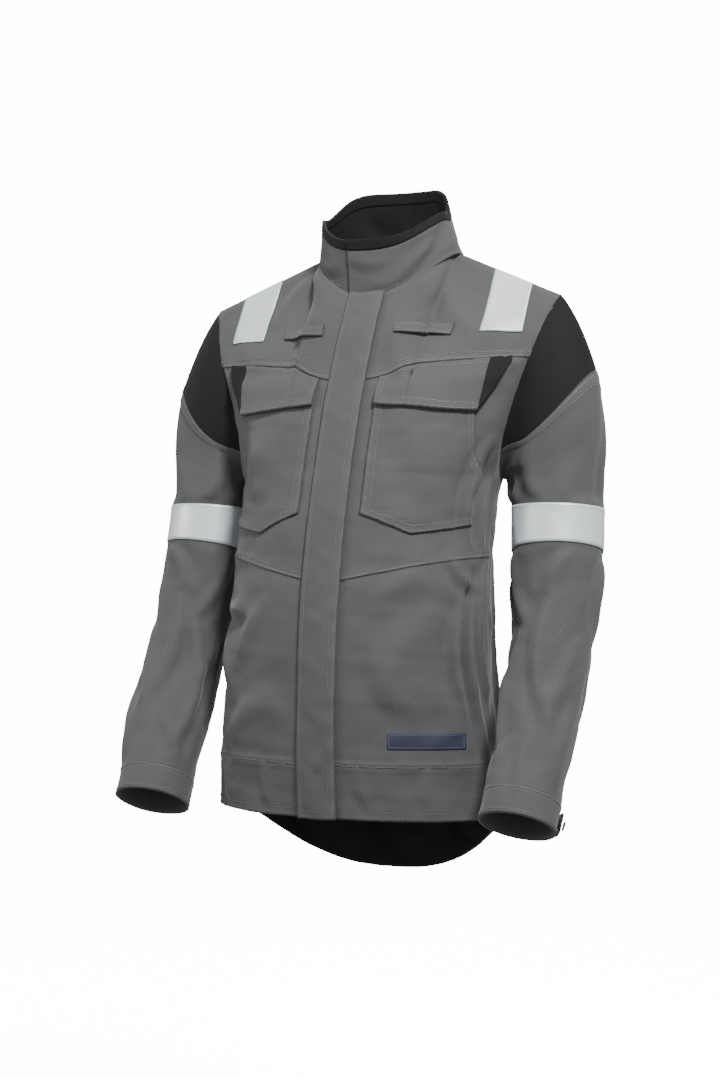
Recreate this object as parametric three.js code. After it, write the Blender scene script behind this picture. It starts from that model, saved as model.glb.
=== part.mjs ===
// A flame-retardant welder's work jacket, hung by its neck loop and closed at the front.
// Millimetres, +Z up, the front faces -Y and the wearer's left is +X.
// The torso is one curved surface, torsoPoint(a, h, side): a runs from -1 at the right side seam
// to 1 at the left, h is the height above the front hem, and side is FRONT or BACK. Each cloth
// panel is a thin solid over a patch of it. Sleeves and collar are rings swept the same way.
import * as THREE from "three";
import { mergeVertices } from "three/addons/utils/BufferGeometryUtils.js";

const { mapLinear, lerp, clamp, smoothstep, degToRad } = THREE.MathUtils;
const Vec = THREE.Vector3;

// ---------------------------------------------------------------- driving dimensions
const CLOTH = 2; // thickness of a cloth panel with its turnings
const SEAM = 0.5; // gap left between two panels at a seam
const LAYER = 0.9; // gap left between two layers
const FRONT = -1;
const BACK = 1;

const SHOULDER_Z = 595; // shoulder tip above the front hem
const NECK_SIDE_Z = 654;
const NECK_FRONT_Z = 598;
const NECK_BACK_Z = 668;
const SHOULDER_HALF = 221; // half the width between the shoulder tips
const HEM_HALF = 168; // half the width at the hem
const WAIST_HALF = 155;
const SHOULDER_Y = 60; // the shoulder tip sits behind the middle of the waist

const FRONT_RADIUS = 953; // the closed front edge bows forward on this arc
const FRONT_MOST_Y = -109;
const FRONT_MOST_Z = 131;

const NECK_HALF = 86; // the neckline is an ellipse in plan
const NECK_DEEP = 62;
const NECK_Y = 75;
const COLLAR_HALF = 80; // and so is the collar's top edge
const COLLAR_DEEP = 60;
const COLLAR_Y = 67;
const COLLAR_FRONT_Z = 664;
const COLLAR_SIDE_Z = 702;
const COLLAR_BACK_Z = 739;
const BINDING_SHARE = 0.2; // share of the collar's height under the black binding

const TAIL_DROP = 80; // the back hem hangs this much lower than the front
const HEM_BAND = 62;
const WAIST_SEAM = 258; // height at the centre front, rising by WAIST_RISE to the side
const WAIST_RISE = 34;
const YOKE_SEAM = 490;
const YOKE_RISE = 30;
const BACK_YOKE_SEAM = 470;

const ARMHOLE_Z = 490; // middle of the armhole
const ARMHOLE_TALL = 105; // half its height
const ARMHOLE_DEEP = 48; // half its front-to-back width
const SLEEVE_GAP = 3; // gap between armhole edge and sleeve head
const SLEEVE_LINE = [
  [196, 64, 490],
  [220, 58, 420],
  [224, 52, 328],
  [231, 14, 186],
  [225, -79, 3],
]; // centre line of the left sleeve, bent a little forward at the elbow
const INSERT_REACH = 0.092; // share of the sleeve under the black insert, at its outer side
const HEAD_SHARE = 0.3; // the sleeve head has turned down by here
const BAND_TOP = 0.278;
const BAND_WIDE = 50; // reflective tape
const CUFF_TALL = 32;
const CUFF_THICK = 2.4;
const CUFF_STUD_AT = 54; // degrees round the cuff from its back
const CUFF_STUD_THICK = 2;
const ROUND = 24; // steps round a sleeve

const ZIP_GAP = 8; // each front edge stops this far from the centre line
const TEETH_IN = 0.8;
const TEETH_OUT = 3.6;
const TEETH_THICK = 3;
const TAPE_OUT = 17;
const TAPE_THICK = 1.2;
const TAPE_SEAT = 0.9; // the zip tape lies this far behind the panels' inner face
const SLIDER_HALF = 5;
const SLIDER_TALL = 12;
const SLIDER_PLATE = 1.5;
const SLIDER_WEB = 0.8;
const ZIP_TOP = 580;
const ZIP_BOTTOM = 14;
const FLY_HALF = 23; // storm flap, each side of the centre line
const FLY_SEAT = CLOTH + LAYER;
const FLY_BOW = 7; // how far the flap stands off over the zip
const FLY_BOTTOM = 6;
const FLY_TOP = 590;
const SNAPS = 5;
const SNAP_RADIUS = 6;
const SNAP_X = -15;
const SNAP_LOW = 60; // height of the lowest press stud
const SNAP_BELOW_TOP = 40; // and how far the highest is below the storm flap's top
const STUD_THICK = 1.6;

const POCKET_IN = 37; // from the centre line to the pocket's inner edge
const POCKET_OUT = 145;
const POCKET_TOP = 474;
const POCKET_LOW = [338, 316, 328]; // inner corner, tip, outer corner
const POCKET_TIP_AT = 0.4; // where the tip is, as a share of the pocket's width
const POCKET_LIFT = CLOTH + 1;
const FLAP_LIFT = POCKET_LIFT + CLOTH + 1.2;
const FLAP_BELOW_SEAM = 1; // the flap's top edge lies this far under the yoke seam
const FLAP_IN_DROP = 30; // flap depth at its inner end, at its point and at the outer end
const FLAP_TIP_DROP = 52;
const FLAP_OUT_DROP = 6;
const FLAP_SPLIT = 146; // the flap's point, where its black corner starts
const FLAP_OUT = 178;

const LOOP_IN = 46;
const LOOP_OUT = 110;
const LOOP_TALL = 14;
const LOOP_Z = 548;
const LOOP_BOW = 2.6;
const LOOP_THICK = 1.4;
const TAPE_IN_X = 138;
const TAPE_WIDE = 48;
const TAPE_END_Z = 550; // where the shoulder tape stops, front and back
const REFLECT_THICK = 1;

const HANG_HALF = 32; // half the length of the neck loop
const HANG_TALL = 9;
const HANG_THICK = 2;
const HANG_BOW = 9;
const HANG_V = 0.1735; // its lower edge, as a share of the collar's height
const LABEL_IN = 80;
const LABEL_OUT = 150;
const LABEL_LOW = HEM_BAND + 18;
const LABEL_TALL = 17;
const LABEL_THICK = 0.8;

// ---------------------------------------------------------------- materials
const cloth = (color) => new THREE.MeshStandardMaterial({ color, roughness: 0.9, metalness: 0 });
const GREY_TWILL = cloth(0x606263);
const BLACK_TWILL = cloth(0x222224);
const NAVY_LABEL = cloth(0x2b3558);
const shiny = (color, roughness, metalness) =>
  new THREE.MeshStandardMaterial({ color, roughness, metalness });
const SILVER_TAPE = shiny(0xb9bebf, 0.45, 0.3);
const ZIP_METAL = shiny(0x8d7a4a, 0.35, 0.9);
const SNAP_BLACK = shiny(0x161617, 0.35, 0.6);

// ---------------------------------------------------------------- curves
// A smooth line through [place, value] stations.
function through(stations) {
  const places = stations.map(([place, value]) => new Vec(place, value, 0));
  const line = new THREE.CatmullRomCurve3(places, false, "centripetal");
  const points = line.getPoints(stations.length * 12);
  return (at) => {
    const i = clamp(points.findIndex((p) => p.x >= at), 1, points.length - 1);
    const [p, q] = at > points.at(-1).x ? points.slice(-2) : [points[i - 1], points[i]];
    return mapLinear(clamp(at, points[0].x, points.at(-1).x), p.x, q.x, p.y, q.y);
  };
}

const halfWidth = through([
  [-TAIL_DROP, HEM_HALF],
  [0, HEM_HALF],
  [WAIST_SEAM, WAIST_HALF],
  [ARMHOLE_Z - ARMHOLE_TALL, WAIST_HALF],
  [ARMHOLE_Z, WAIST_HALF + 31],
  [SHOULDER_Z, SHOULDER_HALF],
]);
const sideLine = through([
  [-TAIL_DROP, 5],
  [WAIST_SEAM, 8],
  [ARMHOLE_Z - ARMHOLE_TALL, 38],
  [ARMHOLE_Z, 68],
  [SHOULDER_Z, SHOULDER_Y],
]);
const backLine = through([
  [-TAIL_DROP, 100],
  [WAIST_SEAM, 98],
  [400, 125],
  [ARMHOLE_Z, 150],
  [NECK_BACK_Z - 60, 156],
  [NECK_BACK_Z, NECK_Y + NECK_DEEP],
]);

const frontLine = (z) =>
  FRONT_MOST_Y + FRONT_RADIUS - Math.sqrt(FRONT_RADIUS ** 2 - (z - FRONT_MOST_Z) ** 2);

// Half the gap between the front and back edges of the armhole.
function armholeOpen(h) {
  const up = (h - ARMHOLE_Z) / ARMHOLE_TALL;
  return ARMHOLE_DEEP * Math.max(0, 1 - up * up);
}

// The neckline and shoulder seam, where the front and back yokes end: t is a share of the half
// width between the shoulder tips.
function topEdge(t, side) {
  const neck = (t * SHOULDER_HALF) / NECK_HALF;
  if (neck < 1) {
    const middleZ = side === FRONT ? NECK_FRONT_Z : NECK_BACK_Z;
    const y = NECK_Y + side * NECK_DEEP * Math.sqrt(1 - neck ** 2);
    return { y, z: lerp(middleZ, NECK_SIDE_Z, neck ** 2) };
  }
  const along = (t * SHOULDER_HALF - NECK_HALF) / (SHOULDER_HALF - NECK_HALF);
  return { y: lerp(NECK_Y, SHOULDER_Y, along), z: lerp(NECK_SIDE_Z, SHOULDER_Z, along) };
}

const RISE_START = 440; // above this the panels turn over the shoulder
const BOX = 2.3; // how square the torso's section is: 2 would be an ellipse at the waist
const WAIST_ROUND = 0.5; // and how it falls away to the side, at the waist and at the chest
const CHEST_ROUND = 0.8;

function unshapedY(t, h, z, side) {
  const edge = sideLine(h) + side * armholeOpen(h);
  const ridge = side === FRONT ? frontLine(z) : backLine(z);
  const low = ARMHOLE_Z - ARMHOLE_TALL;
  const round = lerp(WAIST_ROUND, CHEST_ROUND, smoothstep(h, low, ARMHOLE_Z));
  return lerp(edge, ridge, Math.max(0, 1 - t ** BOX) ** round);
}

function torsoPoint(a, h, side) {
  const share = Math.sin((a * Math.PI) / 2);
  const t = Math.abs(share);
  const top = topEdge(t, side);
  const rise = smoothstep(h, RISE_START, SHOULDER_Z);
  const z = h + (top.z - SHOULDER_Z) * rise;
  const y = unshapedY(t, h, z, side) + rise * (top.y - unshapedY(t, SHOULDER_Z, top.z, side));
  return new Vec(share * halfWidth(h), y, z);
}

// The point of the torso surface stood off by lift along its outward normal.
function torsoLift(a, h, side, lift) {
  const d = 0.002;
  const across = torsoPoint(a + d, h, side).sub(torsoPoint(a - d, h, side));
  const up = torsoPoint(a, h + 1, side).sub(torsoPoint(a, h - 1, side));
  const out = across.cross(up).normalize().multiplyScalar(-side);
  return torsoPoint(a, h, side).addScaledVector(out, lift);
}

// The value of a at which the torso is x from the centre line at height h.
const atX = (x, h) => (Math.asin(clamp(x / halfWidth(h), -1, 1)) * 2) / Math.PI;

// The h at which the line up the torso at a reaches the true height z.
function heightAt(a, z, side) {
  let [low, high] = [0, SHOULDER_Z];
  for (let i = 0; i < 24; i++) {
    const middle = (low + high) / 2;
    if (torsoPoint(a, middle, side).z < z) low = middle;
    else high = middle;
  }
  return (low + high) / 2;
}

const SIDE_A = 1 - 0.002; // panels stop just short of the side seam

// ---------------------------------------------------------------- solids
const root = new THREE.Group();
const jacket = new THREE.Group();
root.add(jacket);

function place(name, geometry, material) {
  geometry.deleteAttribute("normal");
  geometry.deleteAttribute("uv");
  const closed = mergeVertices(geometry, 1e-4);
  closed.computeVertexNormals();
  const mesh = new THREE.Mesh(closed, material);
  mesh.name = name;
  jacket.add(mesh);
}

// A box with its vertices moved by point(u, v, w), each from 0 to 1, which keeps it closed.
// Where point turns the box inside out, its faces are turned back.
function mapped(nu, nv, point, nw = 1) {
  const box = new THREE.BoxGeometry(1, 1, 1, nu, nv, nw);
  const at = box.attributes.position;
  for (let i = 0; i < at.count; i++) {
    const p = point(at.getX(i) + 0.5, at.getY(i) + 0.5, at.getZ(i) + 0.5);
    at.setXYZ(i, p.x, p.y, p.z);
  }
  const x = point(0.6, 0.5, 0.5).sub(point(0.4, 0.5, 0.5));
  const y = point(0.5, 0.6, 0.5).sub(point(0.5, 0.4, 0.5));
  const z = point(0.5, 0.5, 0.6).sub(point(0.5, 0.5, 0.4));
  if (x.cross(y).dot(z) < 0) turn(box);
  return box;
}

function turn(geometry) {
  const index = geometry.index;
  for (let i = 0; i < index.count; i += 3) {
    const keep = index.getX(i);
    index.setX(i, index.getX(i + 1));
    index.setX(i + 1, keep);
  }
}

// A closed tube wall: angle goes round, v runs along it and w through the wall.
function mappedTube(round, nv, point) {
  const wall = [new THREE.Vector2(1, 0)];
  for (let j = 0; j <= nv; j++) wall.push(new THREE.Vector2(2, j / nv));
  for (let j = nv; j >= 0; j--) wall.push(new THREE.Vector2(1, j / nv));
  const tube = new THREE.LatheGeometry(wall, round);
  const at = tube.attributes.position;
  for (let i = 0; i < at.count; i++) {
    const angle = Math.atan2(at.getX(i), at.getZ(i));
    const w = Math.round(Math.hypot(at.getX(i), at.getZ(i)) - 1);
    const p = point(angle, at.getY(i), w);
    at.setXYZ(i, p.x, p.y, p.z);
  }
  return tube;
}

// A patch of the torso between a0 and a1 and between heights low(a) and high(a), all of which may
// be functions, from lift to lift + thick outside the surface.
const asCall = (value) => (typeof value === "function" ? value : () => value);

function patch(side, [a0, a1], [low, high], lift, thick, [nu, nv]) {
  const [from, to, bottom, top, off] = [a0, a1, low, high, lift].map(asCall);
  return mapped(nu, nv, (u, v, w) => {
    const guess = lerp(bottom(0), top(0), v);
    const a = lerp(from(guess), to(guess), u);
    const h = lerp(bottom(a), top(a), v);
    return torsoLift(a, h, side, off(u, v) + w * thick);
  });
}

const HANDS = [["left", 1], ["right", -1]];

// ---------------------------------------------------------------- seams on the torso
const shareOf = (a) => Math.abs(Math.sin((a * Math.PI) / 2));
const waistSeam = (a) => WAIST_SEAM + WAIST_RISE * shareOf(a);
const yokeSeam = (a) => YOKE_SEAM + YOKE_RISE * shareOf(a) ** 2;
const TAIL_CURVE = 2.5; // how late the tail's edge turns up to the side seams
const tailEdge = (a) => -TAIL_DROP * (1 - shareOf(a) ** TAIL_CURVE);
const above = (seam) => (a) => seam(a) + SEAM / 2;
const below = (seam) => (a) => seam(a) - SEAM / 2;
const raised = (seam, by) => (a) => seam(a) + by;

// ---------------------------------------------------------------- body panels
for (const [hand, sign] of HANDS) {
  const across = [(h) => sign * atX(ZIP_GAP, h), sign * SIDE_A];
  const front = (name, heights, steps) =>
    place(`${name}_${hand}`, patch(FRONT, across, heights, 0, CLOTH, steps), GREY_TWILL);
  front("front_yoke", [above(yokeSeam), SHOULDER_Z - SEAM], [12, 8]);
  front("chest_panel", [above(waistSeam), below(yokeSeam)], [12, 12]);
  front("lower_front", [HEM_BAND + SEAM, below(waistSeam)], [12, 5]);
  front("hem_band", [0, HEM_BAND], [12, 2]);
}

const backWide = [-SIDE_A, SIDE_A];
const backPatch = (name, heights, lift, steps, material) =>
  place(name, patch(BACK, backWide, heights, lift, CLOTH, steps), material);
backPatch("back_yoke", [BACK_YOKE_SEAM + SEAM, SHOULDER_Z - SEAM], 0, [20, 8], GREY_TWILL);
backPatch("back_panel", [raised(tailEdge, HEM_BAND + SEAM), BACK_YOKE_SEAM], 0, [20, 20], GREY_TWILL);
backPatch("hem_band_back", [tailEdge, raised(tailEdge, HEM_BAND)], 0, [20, 2], GREY_TWILL);
const LINING_TOP = 40;
backPatch("tail_lining", [raised(tailEdge, 1), LINING_TOP], -CLOTH - LAYER, [20, 3], BLACK_TWILL);

// ---------------------------------------------------------------- collar
// angle 0 is the front, v runs from the neckline to the top edge.
function collarPoint(angle, v, lift) {
  const across = Math.sin(angle);
  const front = Math.cos(angle) > 0;
  const baseZ = lerp(front ? NECK_FRONT_Z : NECK_BACK_Z, NECK_SIDE_Z, across ** 2);
  const topZ = lerp(front ? COLLAR_FRONT_Z : COLLAR_BACK_Z, COLLAR_SIDE_Z, across ** 2);
  const wide = lerp(NECK_HALF, COLLAR_HALF, v) + lift;
  const deep = lerp(NECK_DEEP, COLLAR_DEEP, v) + lift;
  const y = lerp(NECK_Y, COLLAR_Y, v) - deep * Math.cos(angle);
  return new Vec(wide * across, y, lerp(baseZ + CLOTH + SEAM, topZ, v));
}

const COLLAR_SLIT = -degToRad(16); // the left end laps past the centre line and stops here
const SLIT_HALF = 0.01; // half the slit's width, in radians
function collarBand(v0, v1, lift, thick) {
  return mapped(32, 2, (u, v, w) => {
    const angle = COLLAR_SLIT + lerp(SLIT_HALF, 2 * Math.PI - SLIT_HALF, u);
    return collarPoint(angle, lerp(v0, v1, v), lift + w * thick);
  });
}

place("collar_outer", collarBand(0, 1 - BINDING_SHARE, 0, CLOTH), GREY_TWILL);
const liningLift = -CLOTH - LAYER;
place("collar_lining", collarBand(0, 1 - BINDING_SHARE, liningLift, CLOTH), BLACK_TWILL);
const bindingStart = 1 - BINDING_SHARE + SEAM / (COLLAR_FRONT_Z - NECK_FRONT_Z);
place("collar_binding", collarBand(bindingStart, 1, liningLift, CLOTH - liningLift), BLACK_TWILL);

// Neck loop: a flat strap stitched at its two ends to the lining at the back of the neck.
const hangSeat = CLOTH + 2 * LAYER;
const hangTopV = HANG_V + HANG_TALL / (COLLAR_BACK_Z - NECK_BACK_Z);
function hangerPoint(u, v, w) {
  const angle = Math.PI - Math.asin(lerp(-HANG_HALF, HANG_HALF, u) / NECK_HALF);
  const bow = HANG_BOW * Math.sin(Math.PI * u) ** 0.5;
  return collarPoint(angle, lerp(HANG_V, hangTopV, v), -hangSeat - bow - HANG_THICK * w);
}
place("hanger_loop", mapped(16, 1, hangerPoint), GREY_TWILL);

// ---------------------------------------------------------------- front closure
// Everything on the zip lies on the arc of the front edge, so the slider runs along it.
const arcCentre = new Vec(0, FRONT_MOST_Y + FRONT_RADIUS, FRONT_MOST_Z);
function onArc(x, z, lift) {
  const angle = Math.asin((z - FRONT_MOST_Z) / FRONT_RADIUS);
  const radius = FRONT_RADIUS + lift;
  return new Vec(x, arcCentre.y - radius * Math.cos(angle), arcCentre.z + radius * Math.sin(angle));
}

function arcStrip([x0, x1], [z0, z1], [lift0, lift1], steps) {
  return mapped(1, steps, (u, v, w) =>
    onArc(lerp(x0, x1, u), lerp(z0, z1, v), lerp(lift0, lift1, w)),
  );
}

const ZIP_STEPS = 24;
for (const [hand, sign] of HANDS) {
  const strip = (x0, x1, lift0, lift1) =>
    arcStrip([sign * x0, sign * x1], [ZIP_BOTTOM, ZIP_TOP], [lift0, lift1], ZIP_STEPS);
  const teeth = strip(TEETH_IN, TEETH_OUT, -TEETH_THICK / 2, TEETH_THICK / 2);
  place(`zip_teeth_${hand}`, teeth, ZIP_METAL);
  const tape = strip(TEETH_OUT + LAYER, TAPE_OUT, -TAPE_SEAT - TAPE_THICK, -TAPE_SEAT);
  place(`zip_tape_${hand}`, tape, BLACK_TWILL);
}

const plateIn = TEETH_THICK / 2 + LAYER;
const plateOut = plateIn + SLIDER_PLATE;
const sliderTop = ZIP_TOP - 1;
const sliderLow = sliderTop - SLIDER_TALL;
// A slider's section is an H on its side: two plates joined by a web between the rows of teeth.
function sliderSolid() {
  const outline = [
    [-SLIDER_HALF, plateOut], [-SLIDER_HALF, plateIn], [-SLIDER_WEB / 2, plateIn],
    [-SLIDER_WEB / 2, -plateIn], [-SLIDER_HALF, -plateIn], [-SLIDER_HALF, -plateOut],
  ];
  const shape = new THREE.Shape([
    ...outline.map(([x, y]) => new THREE.Vector2(x, y)),
    ...outline.reverse().map(([x, y]) => new THREE.Vector2(-x, y)),
  ]);
  const run = { depth: SLIDER_TALL, steps: 2, bevelEnabled: false };
  const solid = new THREE.ExtrudeGeometry(shape, run);
  const at = solid.attributes.position;
  for (let i = 0; i < at.count; i++) {
    const p = onArc(at.getX(i), sliderLow + at.getZ(i), at.getY(i));
    at.setXYZ(i, p.x, p.y, p.z);
  }
  const merged = mergeVertices(solid.deleteAttribute("normal").deleteAttribute("uv"), 1e-4);
  turn(merged);
  return merged;
}
place("zip_slider", sliderSolid(), ZIP_METAL);
const PULLER_HALF = 3;
const PULLER_BELOW = 22; // how far the puller hangs below the slider
const PULLER_OVER = 8; // and laps over it
const PULLER_THICK = 1.4;
const pullerIn = plateOut + LAYER;
const pullerRun = [sliderLow - PULLER_BELOW, sliderLow + PULLER_OVER];
const pullerWall = [pullerIn, pullerIn + PULLER_THICK];
const puller = arcStrip([-PULLER_HALF, PULLER_HALF], pullerRun, pullerWall, 2);
place("zip_puller", puller, ZIP_METAL);

// The storm flap is stitched down along its left edge and covers the zip.
function flyLift(u) {
  return FLY_SEAT + FLY_BOW * Math.sin(Math.PI * u) ** 0.7;
}
const flyAcross = [(h) => atX(-FLY_HALF, h), (h) => atX(FLY_HALF, h)];
const stormFlap = patch(FRONT, flyAcross, [FLY_BOTTOM, FLY_TOP], flyLift, CLOTH, [8, 20]);
place("storm_flap", stormFlap, GREY_TWILL);

// Press studs between the flap and the right front: a stud on the front, its socket on the flap.
function disc(centre, out, radius, thick) {
  const round = new THREE.CylinderGeometry(radius, radius, thick, 12);
  round.applyQuaternion(new THREE.Quaternion().setFromUnitVectors(new Vec(0, 1, 0), out));
  round.translate(...centre.clone().addScaledVector(out, thick / 2));
  return mergeVertices(round.deleteAttribute("normal").deleteAttribute("uv"), 1e-4);
}
for (let i = 0; i < SNAPS; i++) {
  const h = mapLinear(i, 0, SNAPS - 1, SNAP_LOW, FLY_TOP - SNAP_BELOW_TOP);
  const a = atX(SNAP_X, h);
  const out = torsoLift(a, h, FRONT, 1).sub(torsoPoint(a, h, FRONT)).normalize();
  const seat = torsoLift(a, h, FRONT, CLOTH + LAYER);
  place(`fly_stud_${i + 1}`, disc(seat, out, SNAP_RADIUS - 1, STUD_THICK), SNAP_BLACK);
}

// ---------------------------------------------------------------- pockets and chest fittings
function pocketLow(u) {
  const [inner, tip, outer] = POCKET_LOW;
  if (u < POCKET_TIP_AT) return lerp(inner, tip, u / POCKET_TIP_AT);
  return lerp(tip, outer, (u - POCKET_TIP_AT) / (1 - POCKET_TIP_AT));
}
for (const [hand, sign] of HANDS) {
  const across = (u, h) => sign * lerp(atX(POCKET_IN, h), atX(POCKET_OUT, h), u);
  const pocket = mapped(12, 12, (u, v, w) => {
    const h = lerp(pocketLow(u), POCKET_TOP, v);
    return torsoLift(across(u, h), h, FRONT, POCKET_LIFT + w * CLOTH);
  });
  place(`chest_pocket_${hand}`, pocket, GREY_TWILL);

  const flapPart = (x0, x1, drop0, drop1, steps) =>
    mapped(steps, 2, (u, v, w) => {
      const x = lerp(x0, x1, u);
      const top = yokeSeam(atX(x, YOKE_SEAM)) - FLAP_BELOW_SEAM;
      const h = top - (1 - v) * lerp(drop0, drop1, u);
      return torsoLift(sign * atX(x, h), h, FRONT, FLAP_LIFT + w * CLOTH);
    });
  const grey = flapPart(POCKET_IN, FLAP_SPLIT, FLAP_IN_DROP, FLAP_TIP_DROP, 8);
  place(`pocket_flap_${hand}`, grey, GREY_TWILL);
  const black = flapPart(FLAP_SPLIT + SEAM, FLAP_OUT, FLAP_TIP_DROP, FLAP_OUT_DROP, 3);
  place(`flap_corner_${hand}`, black, BLACK_TWILL);

  const loopLift = (u) => CLOTH + LAYER + LOOP_BOW * Math.sin(Math.PI * u) ** 0.6;
  const loop = mapped(8, 1, (u, v, w) => {
    const z = LOOP_Z + v * LOOP_TALL;
    const a = atX(lerp(LOOP_IN, LOOP_OUT, u), LOOP_Z);
    return torsoLift(sign * a, heightAt(a, z, FRONT), FRONT, loopLift(u) + w * LOOP_THICK);
  });
  place(`radio_loop_${hand}`, loop, GREY_TWILL);

  // Reflective tape over the shoulder: a front and a back strip meet at the shoulder seam.
  for (const [name, side] of [["front", FRONT], ["back", BACK]]) {
    const strip = mapped(3, 5, (u, v, w) => {
      const x = TAPE_IN_X + u * TAPE_WIDE;
      const h = lerp(heightAt(atX(x, TAPE_END_Z), TAPE_END_Z, side), SHOULDER_Z - 2 * SEAM, v);
      return torsoLift(sign * atX(x, h), h, side, CLOTH + LAYER + w * REFLECT_THICK);
    });
    place(`shoulder_tape_${name}_${hand}`, strip, SILVER_TAPE);
  }
}

const label = mapped(5, 1, (u, v, w) => {
  const h = LABEL_LOW + v * LABEL_TALL;
  return torsoLift(atX(lerp(LABEL_IN, LABEL_OUT, u), h), h, FRONT, CLOTH + LAYER + w * LABEL_THICK);
});
place("side_label", label, NAVY_LABEL);

// ---------------------------------------------------------------- sleeves
const sleeveStations = SLEEVE_LINE.map((p) => new Vec(...p));
const sleeveCurve = new THREE.CatmullRomCurve3(sleeveStations, false, "centripetal");
const sleeveLength = sleeveCurve.getLength();
const sleeveRadius = through([[0, 50], [0.16, 47], [0.3, 50], [0.6, 44], [1, 40]]);
const HEAD_UP = new Vec(0.28, 0, 0.96); // the sleeve head's rings lean out a little over the arm

// k runs from the armhole to the cuff and psi goes round: 0 is the back, 90 degrees the outside.
// The rings start upright in the armhole and have swung level by HEAD_SHARE.
function sleevePoint(k, psi, lift) {
  const loopH = ARMHOLE_Z + ARMHOLE_TALL * Math.sin(psi);
  const loopY = sideLine(loopH) + Math.sign(Math.cos(psi)) * armholeOpen(loopH);
  const loop = new Vec(halfWidth(loopH) + SLEEVE_GAP, loopY, loopH);
  const loopOut = new Vec(0, Math.cos(psi), Math.sin(psi));

  const head = clamp(k / HEAD_SHARE, 0, 1);
  const level = Math.sin((head * Math.PI) / 2);
  const along = sleeveCurve.getTangentAt(k);
  const outside = new Vec(1, 0, 0).addScaledVector(along, -along.x).normalize();
  const behind = outside.clone().cross(along);
  const swung = HEAD_UP.clone().lerp(outside, level).normalize();
  const tall = lerp(ARMHOLE_TALL, sleeveRadius(k), level);
  const deep = lerp(ARMHOLE_DEEP, sleeveRadius(k), Math.min(1, head * 2));
  const ring = sleeveCurve.getPointAt(k);
  ring.addScaledVector(behind, deep * Math.cos(psi)).addScaledVector(swung, tall * Math.sin(psi));
  const ringOut = behind.multiplyScalar(Math.cos(psi) / deep).addScaledVector(swung, Math.sin(psi) / tall);

  const joined = smoothstep(k, 0, HEAD_SHARE / 3);
  const out = loopOut.lerp(ringOut.normalize(), joined).normalize();
  return loop.lerp(ring, joined).addScaledVector(out, lift);
}

const mirrorX = (p, sign) => p.setX(p.x * sign);
const INSERT_FROM = degToRad(-45);
const INSERT_TO = degToRad(225);
const INSERT_FADE = degToRad(140); // its lower edge reaches the armhole this far from the outside
const INSERT_DIP = 0.6; // and dips a little to the front and back before it does
function insertEdge(psi) {
  const round = (psi - Math.PI / 2) / INSERT_FADE;
  return INSERT_REACH * (1 + INSERT_DIP * round ** 2) * (1 - round ** 6);
}
const TINY = 0.01;
const inInsert = (psi) => psi > INSERT_FROM - TINY && psi < INSERT_TO + TINY;
const fromBack = (angle) => (angle < -Math.PI / 2 - TINY ? angle + 2 * Math.PI : angle);
const seamK = SEAM / sleeveLength;
const cuffK = 1 - CUFF_TALL / sleeveLength;
const bandLowK = BAND_TOP + BAND_WIDE / sleeveLength;
const TAB_FROM = degToRad(10);
const TAB_TO = degToRad(70);
const TAB_LIFT = CUFF_THICK + 2 * LAYER + 1.8; // room for the stud's post under the tab

for (const [hand, sign] of HANDS) {
  const tube = (k0, k1, lift, thick, nv) =>
    mappedTube(ROUND, nv, (angle, v, w) => {
      const psi = fromBack(angle);
      const start = asCall(k0)(psi);
      return mirrorX(sleevePoint(lerp(start, k1, v), psi, lift + w * thick), sign);
    });
  const outward = (geometry) => {
    if (sign < 0) turn(geometry);
    return geometry;
  };
  const sleeveStart = (psi) => (inInsert(psi) ? insertEdge(psi) + 2 * seamK : 0);
  const sleeve = tube(sleeveStart, cuffK - seamK, 0, CLOTH, 12);
  const band = tube(BAND_TOP, bandLowK, CLOTH + LAYER, REFLECT_THICK, 2);
  const cuff = tube(cuffK, 1, 0, CUFF_THICK, 1);
  place(`sleeve_${hand}`, outward(sleeve), GREY_TWILL);
  place(`arm_band_${hand}`, outward(band), SILVER_TAPE);
  place(`cuff_${hand}`, outward(cuff), GREY_TWILL);

  const insert = mapped(18, 3, (u, v, w) => {
    const psi = lerp(INSERT_FROM, INSERT_TO, u);
    return mirrorX(sleevePoint(v * insertEdge(psi), psi, w * CLOTH), sign);
  });
  place(`sleeve_insert_${hand}`, insert, BLACK_TWILL);

  // The cuff closes with a tab and a press stud on its outer side.
  const tab = mapped(4, 1, (u, v, w) => {
    const k = lerp(cuffK + 3 * seamK, 1 - 3 * seamK, v);
    return mirrorX(sleevePoint(k, lerp(TAB_FROM, TAB_TO, u), TAB_LIFT + w * CLOTH), sign);
  });
  place(`cuff_tab_${hand}`, tab, GREY_TWILL);
  const studK = (cuffK + 1) / 2;
  const outOf = (lift) => mirrorX(sleevePoint(studK, degToRad(CUFF_STUD_AT), lift), sign);
  const out = outOf(1).sub(outOf(0)).normalize();
  const post = disc(outOf(CUFF_THICK + LAYER / 2), out, SNAP_RADIUS - 1, STUD_THICK);
  place(`cuff_post_${hand}`, post, SNAP_BLACK);
  const stud = disc(outOf(TAB_LIFT + CLOTH + LAYER), out, SNAP_RADIUS, CUFF_STUD_THICK);
  place(`cuff_stud_${hand}`, stud, SNAP_BLACK);
}

// The jacket hangs by the top edge of its neck loop, which is the origin.
jacket.position.copy(hangerPoint(0.5, 1, 0.5)).negate();

export default root;
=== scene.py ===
# A flame-retardant welder's work jacket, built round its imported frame: grey twill body, black
# twill inserts, silver tape, hung by the loop at the back of its neck.
import math

import bmesh
import bpy
import numpy as np
from mathutils import Matrix, Vector


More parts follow.
